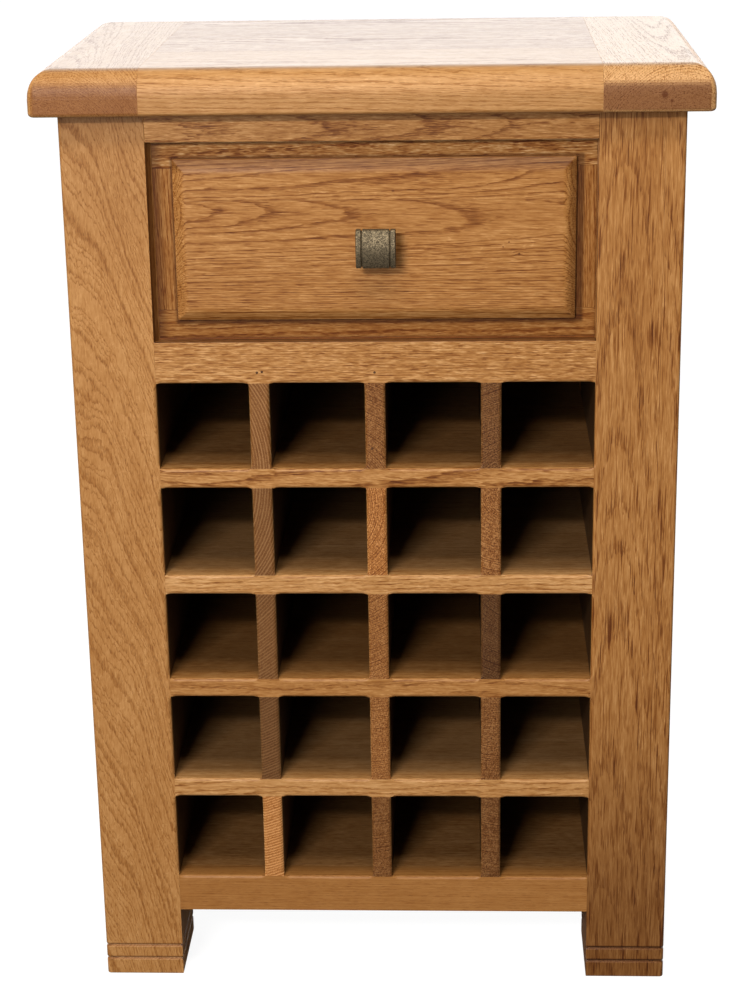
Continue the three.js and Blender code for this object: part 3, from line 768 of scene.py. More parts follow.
@dataclass(frozen=True)
class BrassFinish:
    """Hammered brass with a pale, rubbed skin and dark hollows."""

    name: str = "aged brass"
    skin: Colour = (0.31, 0.242, 0.150)
    hollow: Colour = (0.040, 0.028, 0.014)
    roughness: float = 0.5
    speckle_scale: float = 1500.0
    blotch_scale: float = 260.0

    def material(self) -> bpy.types.Material:
        """Makes the material, which reads the piece's own height attribute."""
        material, w, shader = new_material(self.name)
        place = w.add("ShaderNodeTexCoord").outputs["Object"]
        speckle = w.noise(w.vector("SCALE", place, self.speckle_scale), 3.0, 0.7)
        blotch = w.noise(w.vector("SCALE", place, self.blotch_scale))
        dirt = w.add("ShaderNodeAttribute", attribute_name="hollow").outputs["Fac"]
        dark = w.plus(w.remap(speckle, 0.58, 0.42), w.centred(blotch, 0.7))
        dark = w.clamped(w.scaled(dark, 0.65, dirt), 0.0, 1.0)
        w.feed(shader["Base Color"], w.blend(dark, self.skin, self.hollow))
        w.feed(shader["Metallic"], w.remap(dark, 0.2, 1.0, (0.95, 0.55)))
        w.feed(shader["Roughness"], w.scaled(dark, 0.25, self.roughness))
        w.feed(shader["Normal"], w.bump(speckle, 0.5, 0.15 * MM))
        return material


@dataclass(frozen=True)
class SteelFinish:
    """Zinc-plated steel with fine turning lines."""

    name: str = "plated steel"
    bright: Colour = (0.56, 0.57, 0.58)
    dull: Colour = (0.33, 0.33, 0.32)
    cloud_scale: float = 700.0

    def material(self) -> bpy.types.Material:
        """Makes the material."""
        material, w, shader = new_material(self.name)
        place = w.add("ShaderNodeTexCoord").outputs["Object"]
        cloud = w.noise(w.vector("SCALE", place, self.cloud_scale), 3.0)
        w.feed(shader["Base Color"], w.blend(cloud, self.bright, self.dull))
        w.feed(shader["Roughness"], w.scaled(cloud, 0.3, 0.2))
        w.feed(shader["Metallic"], 1.0)
        return material


# Shaping


def arc(steps: int) -> list[Pair]:
    """The cosines and sines of angles that share a quarter turn evenly."""
    angles = (step / steps * QUARTER for step in range(steps + 1))
    return [(math.cos(angle), math.sin(angle)) for angle in angles]


def circle(radius: float, sides: int) -> list[Pair]:
    """The corners of a regular polygon."""
    angles = (2 * math.pi * i / sides for i in range(sides))
    return [(radius * math.cos(angle), radius * math.sin(angle)) for angle in angles]


def grown(span: Pair, extra: float) -> Pair:
    """A range made wider at both ends."""
    return (span[0] - extra, span[1] + extra)


def outline(u: Pair, v: Pair, radii: Sequence[float], steps: int) -> list[Pair]:
    """A rectangle with rounded corners, anticlockwise from the low corner of both ranges.

    Args:
        u: The first range.
        v: The second range.
        radii: One radius for each corner, zero for a sharp one.
        steps: How many steps each round corner has.

    Returns:
        The points of the outline.
    """
    corners = ((u[0], v[0], 1, 1), (u[1], v[0], -1, 1), (u[1], v[1], -1, -1), (u[0], v[1], 1, -1))
    points: list[Pair] = []
    for index, (radius, (corner_u, corner_v, in_u, in_v)) in enumerate(zip(radii, corners)):
        for step in range(steps + 1 if radius else 1):
            angle = (index + 2 + step / steps) * QUARTER
            points.append((
                corner_u + in_u * radius + radius * math.cos(angle),
                corner_v + in_v * radius + radius * math.sin(angle),
            ))
    return points


def linked(name: str, data: bpy.types.ID) -> bpy.types.Object:
    """A new object in the scene."""
    made = bpy.data.objects.new(name, data)
    bpy.context.scene.collection.objects.link(made)
    return made


class Solid:
    """A closed mesh being shaped, with the cuts and joins that a joiner makes."""

    def __init__(self, data: bpy.types.Mesh | None = None) -> None:
        """Starts from a copy of a mesh, or from nothing."""
        self.mesh = bmesh.new()
        if data:
            self.mesh.from_mesh(data)

    @classmethod
    def of_node(cls, node: str) -> "Solid":
        """A clean copy of a CAD node, its triangles merged into flat faces."""
        solid = cls(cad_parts[node].data)
        solid.clean()
        return solid

    @classmethod
    def block(cls, low: Sequence[float], high: Sequence[float]) -> "Solid":
        """A rectangular block between two corners."""
        (x0, y0, z0), (x1, y1, z1) = low, high
        corners = ((x0, y0), (x1, y0), (x1, y1), (x0, y1))
        return cls.stacked([[Vector((*corner, z)) for corner in corners] for z in (z0, z1)])

    @classmethod
    def stacked(cls, rings: Sequence[Ring]) -> "Solid":
        """Joins rings into one solid with a face at each end.

        Args:
            rings: The rings in order, all with equally many points.

        Returns:
            The new solid.
        """
        solid = cls()
        mesh = solid.mesh
        rows = [[mesh.verts.new(point) for point in ring] for ring in rings]
        for low, high in zip(rows, rows[1:]):
            for i, corner in enumerate(low):
                j = (i + 1) % len(low)
                mesh.faces.new((corner, low[j], high[j], high[i]))
        mesh.faces.new(list(reversed(rows[0])))
        mesh.faces.new(rows[-1])
        bmesh.ops.recalc_face_normals(mesh, faces=mesh.faces)
        return solid

    @classmethod
    def turned(cls, profile: Sequence[Pair], sides: int) -> "Solid":
        """A turned solid about the z axis, from its radii and heights, closed at both ends."""
        rings = [[Vector((*p, height)) for p in circle(radius, sides)] for radius, height in profile]
        return cls.stacked(rings)

    def clean(self) -> None:
        """Merges doubled points and joins faces that lie in one plane."""
        mesh = self.mesh
        bmesh.ops.remove_doubles(mesh, verts=mesh.verts, dist=WELD)
        bmesh.ops.dissolve_degenerate(mesh, edges=mesh.edges, dist=WELD)
        bmesh.ops.dissolve_limit(mesh, angle_limit=FLAT_ANGLE, verts=mesh.verts, edges=mesh.edges)
        bmesh.ops.recalc_face_normals(mesh, faces=mesh.faces)

    def blank(self) -> bpy.types.Object:
        """A passing object with a copy of the mesh."""
        data = bpy.data.meshes.new("blank")
        self.mesh.to_mesh(data)
        return linked("blank", data)

    def join(self, other: "Solid") -> None:
        """Adds another solid's faces to this mesh as a separate shell."""
        spare = bpy.data.meshes.new("spare")
        other.mesh.to_mesh(spare)
        self.mesh.from_mesh(spare)
        bpy.data.meshes.remove(spare)

    def worked(self, other: "Solid", operation: str = "DIFFERENCE") -> None:
        """Cuts another solid from this one, or unites the two.

        Args:
            other: The other solid, which is left as it is.
            operation: DIFFERENCE or UNION.
        """
        objects = [self.blank(), other.blank()]
        modifier = objects[0].modifiers.new("work", "BOOLEAN")
        modifier.operation = operation
        modifier.object = objects[1]
        for solver in ("MANIFOLD", "EXACT"):
            modifier.solver = solver
            evaluated = objects[0].evaluated_get(bpy.context.evaluated_depsgraph_get())
            self.mesh.clear()
            self.mesh.from_mesh(evaluated.to_mesh())
            evaluated.to_mesh_clear()
            self.clean()
            if self.mesh.faces and all(edge.is_manifold for edge in self.mesh.edges):
                break
            log.info("%s with %s left an open edge", operation, solver)
        for blank in objects:
            bpy.data.meshes.remove(blank.data)

    def sawn(self, point: Sequence[float], normal: Sequence[float]) -> None:
        """Takes away what lies beyond a plane and leaves the cut open.

        Args:
            point: A point of the plane.
            normal: The way to the side that goes.
        """
        mesh = self.mesh
        bmesh.ops.bisect_plane(
            mesh, geom=[*mesh.verts, *mesh.edges, *mesh.faces], plane_co=point, plane_no=normal,
            clear_outer=True, dist=WELD,
        )

    def trim(self, point: Sequence[float], normal: Sequence[float]) -> None:
        """Takes away what lies on the normal's side of a plane and closes the cut."""
        mesh = self.mesh
        self.sawn(point, normal)
        bmesh.ops.holes_fill(mesh, edges=[e for e in mesh.edges if e.is_boundary], sides=0)
        bmesh.ops.recalc_face_normals(mesh, faces=mesh.faces)

    def ease(self, width: float) -> None:
        """Rounds the long sharp arrises, as a sanding block does.

        Args:
            width: How far the rounding reaches from the arris.
        """

        def suits(edge: bmesh.types.BMEdge) -> bool:
            """Whether an edge is such an arris and has room for the rounding.

            Args:
                edge: The edge.

            Returns:
                Whether it is rounded.
            """
            if not (edge.is_manifold and edge.is_convex and edge.calc_face_angle(0.0) > EASED_ANGLE):
                return False
            near = {other for vertex in edge.verts for other in vertex.link_edges}
            clear = all(other.calc_length() > CLEAR_LENGTH * width for other in near)
            return edge.calc_length() > EASED_LENGTH * width and clear

        bmesh.ops.bevel(
            self.mesh, geom=[edge for edge in self.mesh.edges if suits(edge)], offset=width,
            offset_type="OFFSET", segments=2, profile=0.5, affect="EDGES", clamp_overlap=False,
        )

    def finished(self, name: str, material: bpy.types.Material) -> bpy.types.Object:
        """Turns the solid into a piece with smooth rounded parts and level flat parts.

        Args:
            name: The piece's name.
            material: Its material.

        Returns:
            The new object.
        """
        data = bpy.data.meshes.new(name)
        normals = self.corner_normals()
        self.mesh.to_mesh(data)
        self.mesh.free()
        data.shade_smooth()
        data.normals_split_custom_set(normals)
        data.materials.clear()
        data.materials.append(material)
        return linked(name, data)

    def corner_normals(self) -> list[Vector]:
        """Normals that keep broad faces level and round off the narrow facets between them.

        Returns:
            One normal for each corner of each face, in the order of the faces.
        """
        mesh = self.mesh
        mesh.normal_update()
        mesh.faces.index_update()
        area = [face.calc_area() for face in mesh.faces]
        broad = [2 * a / face.calc_perimeter() > FLAT_WIDTH for a, face in zip(area, mesh.faces)]

        def smooth(corner: bmesh.types.BMLoop) -> Vector:
            """The normal of the largest broad face near a corner, or a mean where there is none.

            Args:
                corner: The corner of a narrow face.

            Returns:
                Its normal.
            """
            face = corner.face
            near = [
                other for other in corner.vert.link_loops
                if other.face is face or other.face.normal.angle(face.normal, math.pi) < SMOOTH_ANGLE
            ]
            level = [other.face for other in near if broad[other.face.index]]
            if level:
                return max(level, key=lambda one: area[one.index]).normal.copy()
            total = sum((other.face.normal * other.calc_angle() for other in near), Vector())
            return total.normalized() if total.length > 0 else face.normal.copy()

        return [
            face.normal.copy() if broad[face.index] else smooth(corner)
            for face in mesh.faces for corner in face.loops
        ]


def place(piece: bpy.types.Object, body: Body, slot: Slot, nodes: Sequence[str] = ()) -> None:
    """Joins a piece to its body, in place of the CAD nodes that it stands for.

    Args:
        piece: The finished piece.
        body: The body that it moves with.
        slot: Not used.
        nodes: The CAD nodes that it replaces.
    """
    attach(piece, body.value)
    if nodes:
        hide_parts(*nodes)
    log.info("%s: %d faces on %s", piece.name, len(piece.data.polygons), body.value)


def middle_of(node: str) -> Vector:
    """The middle of a CAD node's box."""
    low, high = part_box(node)
    return (low + high) / 2


@dataclass
class SubAssembly:
    """A set of boards that are shaped and finished alike."""

    body: Body = Body.CABINET
    easing: float = 0.5 * MM

    def board(
        self, node: str, figure: Figure, solid: Solid | None = None, finish: OakFinish = OUTER,
        easing: float | None = None,
    ) -> None:
        """Eases and finishes one board.

        Args:
            node: The CAD node that it replaces.
            figure: How it was cut from the tree.
            solid: Its shape, where that isn't the CAD node's.
            finish: Its finish.
            easing: How wide its arrises are, zero for sharp ones, where that isn't self.easing.
        """
        solid = solid or Solid.of_node(node)
        width = self.easing if easing is None else easing
        if width:
            solid.ease(width)
        material = finish.material(f"{finish.name} {node}", figure, middle_of(node))
        place(solid.finished(f"{node}_board", material), self.body, finish.slot, [node])


# Cabinet


@dataclass
class Cells:
    """The openings of the bottle rack and what the router takes off their front edges."""

    rounding: float = 4 * MM
    bearing_radius: float = 6.35 * MM
    overcut: float = 0.15 * MM
    overrun: float = 2 * MM
    filler_depth: float = 6 * MM
    filler_reach: float = 8 * MM
    rounding_steps: int = 8
    corner_steps: int = 6

    def __post_init__(self) -> None:
        """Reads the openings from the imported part."""

        def gaps(start: float, kind: str, count: int, axis: int, end: float) -> list[Pair]:
            """The openings that boards leave between two ends."""
            boards = [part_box(f"rack_{kind}_{i + 1}") for i in range(count)]
            edges = [start, *(corner[axis] for box in boards for corner in box), end]
            return list(zip(edges[::2], edges[1::2]))

        self.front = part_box("rack_shelf_1")[0].y
        self.left, self.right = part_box("front_post_left")[1].x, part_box("front_post_right")[0].x
        self.columns = gaps(self.left, "divider", 3, 0, self.right)
        self.rows = gaps(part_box("bottom_rail")[1].z, "shelf", 4, 2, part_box("middle_rail")[0].z)

    def router(self, column: Pair, row: Pair) -> Solid:
        """What the router takes away round one opening.

        Args:
            column: The opening's range along x.
            row: Its range along z.

        Returns:
            The solid to cut away.
        """
        rings = []
        for cosine, sine in arc(self.rounding_steps):
            spread = self.rounding * (1 - cosine) - self.overcut
            y = self.front + self.rounding * (1 - sine)
            radii = [self.bearing_radius + spread] * 4
            points = outline(grown(column, spread), grown(row, spread), radii, self.corner_steps)
            rings.append([Vector((x, y, z)) for x, z in points])
        rings.append([Vector((p.x, self.front - self.overrun, p.z)) for p in rings[-1]])
        return Solid.stacked(rings)

    def refaced(
        self, node: str, fillers: Iterable[tuple[Pair, Pair]], columns: Iterable[int], rows: Iterable[int]
    ) -> Solid:
        """A CAD node whose routed front edges are cut again with finer steps.

        Args:
            node: The CAD node.
            fillers: Ranges along x and z where the front edge is made whole first.
            columns: Which columns of cells touch it.
            rows: Which rows of cells touch it.

        Returns:
            The new solid.
        """
        solid = Solid.of_node(node)
        for x, z in fillers:
            low, high = (x[0], self.front, z[0]), (x[1], self.front + self.filler_depth, z[1])
            solid.worked(Solid.block(low, high), "UNION")
        rows = list(rows)
        cutters = [self.router(self.columns[c], self.rows[r]) for c in columns for r in rows]
        for cutter in cutters[1:]:
            cutters[0].join(cutter)
        solid.worked(cutters[0])
        return solid


@dataclass
class Top(SubAssembly):
    """The moulded top: two end boards and three boards between them."""

    easing: float = 0.25 * MM
    lower_rounding: float = 4.0 * MM
    flat_height: float = 18 * MM
    step: float = 0.2 * MM
    reach: float = 23.8 * MM
    corner_radius: float = 8 * MM
    sharpest: float = 0.5 * MM
    rounding_steps: int = 6
    cove_steps: int = 16
    overrun: float = 2 * MM

    def slab(self) -> Solid:
        """The whole top before it is parted into boards."""
        left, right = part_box("top_end_board_left")[0].x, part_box("top_end_board_right")[1].x
        low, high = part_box("top_front_board")[0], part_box("top_rear_board")[1]
        under, over = self.lower_rounding, high.z - low.z - self.flat_height
        levels = [(under * (1 - cosine), under * (1 - sine)) for cosine, sine in arc(self.rounding_steps)]
        levels += [(self.flat_height - 0.4 * MM, 0.0), (self.flat_height, 0.08 * MM)]
        for cosine, sine in arc(self.cove_steps):
            levels.append((self.flat_height + over * sine, self.step + self.reach * (1 - cosine)))
        rings = []
        for height, inset in levels:
            corner = max(self.corner_radius - inset, self.sharpest)
            radii = (corner, corner, 0, 0)
            points = outline(
                grown((left, right), -inset), (low.y + inset, high.y), radii, self.rounding_steps
            )
            rings.append([Vector((x, y, low.z + height)) for x, y in points])
        return Solid.stacked(rings)

    def tongue(self, node: str, joint: float, tip: float) -> Solid:
        """The tongue of a middle board, let a little way into both boards.

        Args:
            node: The CAD node of the board.
            joint: Where the board meets the end board.
            tip: Where its tongue ends.

        Returns:
            The tongue as a block.
        """
        side = math.copysign(1.0, tip)
        beyond = [v.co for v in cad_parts[node].data.vertices if (v.co.x - joint) * side > WELD]
        ends = (joint - side * self.overrun, tip)
        low, high = ([pick(ends), *(pick(p[axis] for p in beyond) for axis in (1, 2))] for pick in (min, max))
        return Solid.block(low, high)

    def build(self) -> None:
        """Parts the slab into its boards and finishes each."""
        joints = (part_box("top_end_board_left")[1].x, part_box("top_end_board_right")[0].x)
        # Painted shade on the lower rounding of each top board, where it turns down.
        under = Shade(EVERYWHERE, (0.9595, FAR), (1.0, 4 * MM), 0.45)
        oval = (1.0, 0.3, 1.0)
        # End boards: their end grain is darkened strongly by cut_depth, partly real end grain, partly painted
        # shade that keeps their front faces darker than the lit rounding.
        ends = (
            Figure(
                DEPTH, (0.03, -0.06), (0.6, 1.4), 1.8 * MM, 10 * MM, 0.6, 0.08, seed=1.3, grit=0.6,
                cut=(0.8, 0.985), cut_depth=2.25, top_glare=0.42, gloss=0.5, shades=(under,),
            ),
            Figure(
                DEPTH, (-0.02, -0.055), (0.5, -1.2), 1.6 * MM, 10 * MM, 0.9, 0.36, seed=4.1, grit=1.5,
                cut=(0.88, 0.985), cut_depth=3.7, top_glare=0.42, gloss=0.5, shades=(under,),
                knots=(
                    Knot((0.2838, -0.2, 0.972), 5 * MM, oval),
                    Knot((0.2905, -0.2, 0.966), 2.2 * MM, oval),
                ),
            ),
        )
        middles = {
            # The front board's face below its rounding is painted darker, as shade, so that the rounding
            # reads as lit; every top board has painted glare on its level face.
            "top_front_board": Figure(
                ACROSS, (-0.02, -0.055), (0.3, 1.1), 2.0 * MM, 10 * MM, 0.5, 0.12, seed=7.9, grit=0.45,
                lines=0.7, shades=(Shade(EVERYWHERE, (0.984, FAR), (1.0, 0.014), 0.24), under), top_glare=0.42,
                gloss=0.4,
            ),
            "top_centre_board": Figure(
                ACROSS, (0.02, -0.06), (0.4, 0.9), 2.2 * MM, 12 * MM, 2.2, seed=11.2, top_glare=0.42
            ),
            "top_rear_board": Figure(
                ACROSS, (0.04, -0.05), (0.5, -0.8), 2.0 * MM, 12 * MM, 2.2, seed=15.6, top_glare=0.42
            ),
        }
        for index, (word, figure) in enumerate(zip(("left", "right"), ends)):
            solid = self.slab()
            solid.trim((joints[index], 0, 0), (1 - 2 * index, 0, 0))
            for other in middles:
                solid.worked(self.tongue(other, joints[index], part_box(other)[index].x))
            self.board(f"top_end_board_{word}", figure, solid)

        for node, figure in middles.items():
            low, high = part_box(node)
            solid = self.slab()
            solid.trim((joints[0], 0, 0), (-1, 0, 0))
            solid.trim((joints[1], 0, 0), (1, 0, 0))
            if node != "top_front_board":
                solid.trim((0, low.y, 0), (0, -1, 0))
            if node != "top_rear_board":
                solid.trim((0, high.y, 0), (0, 1, 0))
            for joint, tip in zip(joints, (low.x, high.x)):
                solid.worked(self.tongue(node, joint, tip), "UNION")
            for word in ("left", "right"):
                for where in ("front", "rear"):
                    solid.worked(Solid.of_node(f"top_screw_{where}_{word}"))
            self.board(node, figure, solid)


@dataclass
class Posts(SubAssembly):
    """Four square posts with two grooves round each foot."""

    foot_top: float = 50 * MM
    foot_rounding: float = 1.5 * MM
    groove_width: float = 4.6 * MM
    groove_depth: float = 2 * MM
    groove_heights: Pair = (19.5 * MM, 35.5 * MM)
    groove_steps: int = 8
    rounding_steps: int = 3

    def levels(self) -> list[Pair]:
        """Heights and insets of the foot, from its top down to the floor."""
        found = []
        for centre in reversed(self.groove_heights):
            for step in range(self.groove_steps + 1):
                share = 1 - 2 * step / self.groove_steps
                inset = self.groove_depth * (1 + math.cos(math.pi * share)) / 2
                found.append((centre + share * self.groove_width / 2, inset))
        radius = self.foot_rounding
        foot = [(radius * (1 - sine), radius * (1 - cosine)) for cosine, sine in arc(self.rounding_steps)]
        return found + foot

    def shaped(self, node: str, solid: Solid) -> Solid:
        """Makes the foot of a post again, with rounded grooves.

        Args:
            node: The CAD node of the post.
            solid: Its shape so far, which is changed.

        Returns:
            The same solid.
        """
        mesh = solid.mesh
        low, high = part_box(node)
        centre, half = (low + high) / 2, (high - low) / 2
        solid.sawn((0, 0, self.foot_top), (0, 0, -1))
        open_edges = {edge for edge in mesh.edges if edge.is_boundary}
        ring = [next(iter(open_edges)).verts[0]]
        while step := next((edge for edge in ring[-1].link_edges if edge in open_edges), None):
            open_edges.discard(step)
            ring.append(step.other_vert(ring[-1]))
        ring.pop()
        points = [vertex.co.copy() for vertex in ring]
        for height, inset in self.levels():
            narrow_x, narrow_y = 1 - inset / half.x, 1 - inset / half.y
            lower = []
            for point in points:
                x = centre.x + (point.x - centre.x) * narrow_x
                y = centre.y + (point.y - centre.y) * narrow_y
                lower.append(mesh.verts.new((x, y, height)))
            for i, vertex in enumerate(ring):
                j = (i + 1) % len(ring)
                mesh.faces.new((vertex, ring[j], lower[j], lower[i]))
            ring = lower
        mesh.faces.new(ring)
        bmesh.ops.recalc_face_normals(mesh, faces=mesh.faces)
        return solid

    def build(self, cells: Cells) -> None:
        """Shapes and finishes the four posts.

        Args:
            cells: The openings of the rack.
        """
        reach = cells.filler_reach
        # Each side: its filler's range along x, its column of cells, and the depth of painted shade in its
        # foot grooves.
        sides = {
            "left": ((cells.left - reach, cells.left), 0, 0.45),
            "right": ((cells.right, cells.right + reach), len(cells.columns) - 1, 0.85),
        }
        figures = {
            # Painted shade on the left post's upper part, under the top.
            "front_post_left": Figure(
                UP, (0.20, 0.07), (6.0, 0.0), 1.5 * MM, 15 * MM, 0.7, seed=21.7, grit=0.5, lines=0.4,
                uneven=5.0, jag=1.1, shades=(Shade(EVERYWHERE, (-FAR, 0.74), (1.0, 0.25), 0.2),),
            ),
            # The right post is darker towards its foot.
            "front_post_right": Figure(
                UP, (0.10, 0.02), (1.2, 0.4), 2.4 * MM, 5 * MM, 0.3, -0.13, seed=26.4, joints=(0.2878,),
                grit=1.05, lines=2.6, jag=0.4, stretch=1.8,
                shades=(Shade(EVERYWHERE, (0.42, FAR), (1.0, 0.4), 0.6),),
            ),
            "rear_post_left": Figure(UP, (-0.08, 0.01), (0.9, 0.5), seed=31.9),
            "rear_post_right": Figure(UP, (-0.12, -0.03), (0.7, -0.4), seed=35.2),
        }
        for node, figure in figures.items():
            x, column, groove_shade = sides[node.rpartition("_")[2]]
            # Painted shade in the upper half of each foot groove, where its lip shades it.
            shades = [
                Shade(EVERYWHERE, (z + 0.5 * MM, z + 2.2 * MM), (1.0, 1.6 * MM), groove_shade, within=True)
                for z in self.groove_heights
            ]
            if node.startswith("front"):
                fillers = [(x, grown(row, reach)) for row in cells.rows]
                solid = cells.refaced(node, fillers, [column], range(len(cells.rows)))
                # Painted shadow of the top's overhang on the front posts.
                shades.append(Shade(EVERYWHERE, (-FAR, 0.936), (1.0, 0.012), 0.22))
                # Painted shade on the posts' faces inside the cells.
                figure = replace(figure, cell_shade=0.16)
            else:
                solid = Solid.of_node(node)
            figure = replace(figure, fade=8 * MM, shades=(*figure.shades, *shades))
            self.board(node, figure, self.shaped(node, solid))


@dataclass
class FrontRails(SubAssembly):
    """The three rails between the front posts."""

    easing: float = 0.8 * MM

    def build(self, cells: Cells) -> None:
        """Shapes and finishes the rails.

        Args:
            cells: The openings of the rack.
        """
        columns = range(len(cells.columns))
        last = len(cells.rows) - 1
        x, reach = (cells.left, cells.right), cells.filler_reach
        ceiling, floor = cells.rows[last][1], cells.rows[0][0]
        # Painted shadow on the middle rail's ledge under the recessed drawer front.
        ledge = Shade(EVERYWHERE, (-FAR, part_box("middle_rail")[1].z - MM), (1.0, 0.9 * MM), 0.8)
        top = Figure(
            ACROSS, (0.09, 0.0), (0.9, 0.3), 1.7 * MM, 8 * MM, 1.0, -0.07, seed=41.3, grit=1.3, lines=1.5,
            jag=0.5,
        )
        middle = Figure(
            ACROSS, (0.03, 0.12), (0.3, 0.15), 1.9 * MM, 5 * MM, 0.55, seed=44.8, grit=1.7, jag=0.4,
            shades=(ledge,),
        )
        # Painted shade on the bottom rail inside the lowest cells.
        bottom = Figure(
            ACROSS, (0.04, -0.12), (0.3, 0.2), 2.0 * MM, 5 * MM, 0.35, -0.17, seed=47.1, grit=0.25, lines=0.4,
            cell_shade=0.42,
        )
        self.board("top_rail", top)
        solid = cells.refaced("middle_rail", [(x, (ceiling, ceiling + reach))], columns, [last])
        self.board("middle_rail", middle, solid)
        solid = cells.refaced("bottom_rail", [(x, (floor - reach, floor))], columns, [0])
        self.board("bottom_rail", bottom, solid)


@dataclass
class Rack(SubAssembly):
    """Shelves and dividers, and the boards that close the rack."""

    easing: float = 0.3 * MM

    def shelves(self, cells: Cells) -> None:
        """Shapes and finishes the shelves.

        Args:
            cells: The openings of the rack.
        """
        figures = (
            Figure(ACROSS, (0.05, 0.05), (0.6, 0.4), 1.9 * MM, 8 * MM, 0.7, 0.13, seed=52.0, grit=0.65),
            Figure(ACROSS, (0.07, -0.04), (0.4, 0.3), 2.0 * MM, 8 * MM, 0.6, -0.1, seed=55.5, grit=0.85),
            Figure(ACROSS, (0.05, 0.08), (0.5, -0.3), 1.8 * MM, 8 * MM, 0.6, 0.13, seed=58.7, grit=0.9),
            Figure(
                ACROSS, (0.04, 0.03), (0.8, 1.8), 2.6 * MM, 10 * MM, 1.4, seed=61.4, grit=1.2, lines=1.6,
                jag=0.5,
            ),
        )
        for index, figure in enumerate(figures):
            node = f"rack_shelf_{index + 1}"
            low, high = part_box(node)
            fillers = [((cells.left, cells.right), (low.z, high.z))]
            solid = cells.refaced(node, fillers, range(len(cells.columns)), [index, index + 1])
            # Painted shade on the shelves inside the cells.
            self.board(node, replace(figure, cell_shade=0.42), solid)

    def dividers(self, cells: Cells) -> None:
        """Shapes and finishes the dividers, whose staves meet at the shelves.

        Args:
            cells: The openings of the rack.
        """
        joints = tuple((high + low) / 2 for (_, low), (high, _) in zip(cells.rows, cells.rows[1:]))[::-1]
        # Painted shade on the dividers inside the cells.
        common = Figure(
            DEPTH, lean=(0.5, 0.5), joints=joints, joint_axis=2, joint_way=-1, cell_shade=0.16, fade=8 * MM,
            shift=0.6, ring_width=1.8 * MM, wander=5 * MM, bands=4.0, jag=0.4,
        )
        figures = (
            replace(
                common, pith=(0.15, 0.185), ring_width=3.0 * MM, wander=2 * MM, strength=-0.8, tone=-0.15,
                seed=64.2, bands=13.0, grit=0.9, uneven=0.8, jag=0.3,
                stave_tones=(-0.32, -0.48, -0.58, -0.78, 0.32),
            ),
            replace(
                common, pith=(0.05, 0.15), seed=68.9, grit=2.4,
                stave_tones=(-0.22, 0.28, -0.03, 0.0, -0.38),
            ),
            replace(
                common, pith=(-0.04, 0.13), strength=1.2, seed=73.3, grit=3.0,
                stave_tones=(-0.58, -0.05, -0.98, -0.3, -0.5),
            ),
        )
        for index, figure in enumerate(figures):
            node = f"rack_divider_{index + 1}"
            low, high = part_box(node)
            fillers = [((low.x, high.x), row) for row in cells.rows]
            solid = cells.refaced(node, fillers, [index, index + 1], range(len(cells.rows)))
            self.board(node, figure, solid)

    def build(self, cells: Cells) -> None:
        """Shapes and finishes the rack.

        Args:
            cells: The openings of the rack.
        """
        self.shelves(cells)
        self.dividers(cells)
        for index, node in enumerate(("rack_base_board", "rack_top_board")):
            # Painted shade on the rack's base and top boards inside the cells.
            self.board(node, Figure(ACROSS, (0.1, -0.06), (0.4, 0.3), seed=77.0 + index, cell_shade=0.42))
        for index, word in enumerate(("left", "right")):
            # Painted shade on the linings inside the cells.
            lining = Figure(DEPTH, (0.05, 0.1), (0.4, 0.3), seed=80.5 + index, cell_shade=0.12)
            self.board(f"rack_lining_{word}", lining)


@dataclass
class Sides(SubAssembly):
    """Rails and panels between the front and the rear posts."""

    easing: float = 0.8 * MM

    def build(self) -> None:
        """Finishes both sides."""
        for index, word in enumerate(("left", "right")):
            seed, out = 84.0 + 9 * index, 1 - 2 * index
            middle = middle_of(f"side_panel_{word}").y
            panel = Figure(
                UP, (-0.02, -out * 0.07), (0.5, 1.0), 2.4 * MM, 12 * MM, 1.0, 0.02, seed=seed + 5,
                joints=(middle - 0.052, middle + 0.047), joint_axis=1,
            )
            self.board(f"side_upper_rail_{word}", Figure(DEPTH, (out * 0.06, 0.01), (1.4, 0.4), seed=seed))
            self.board(f"side_lower_rail_{word}", Figure(DEPTH, (out * 0.08, 0.0), (0.8, 0.4), seed=seed + 2))
            self.board(f"side_panel_{word}", panel, easing=0.3 * MM)


@dataclass
class Back(SubAssembly):
    """Two rails and the lapped boards between them."""

    easing: float = 0.6 * MM
    board_count: int = 4

    def build(self) -> None:
        """Finishes the back."""
        self.board("back_upper_rail", Figure(ACROSS, (-0.06, 0.01), (1.2, 0.4), seed=104.0))
        self.board("back_lower_rail", Figure(ACROSS, (-0.08, 0.0), (0.8, 0.4), seed=106.0))
        for index in range(self.board_count):
            figure = Figure(
                UP, (-0.05 - 0.012 * index, 0.02 * (index - 1.5)), (1.1, 0.5), 2.4 * MM, 12 * MM, 1.0,
                0.03 * (index % 2), seed=109.0 + 3.3 * index,
            )
            self.board(f"back_board_{index + 1}", figure, finish=INNER)


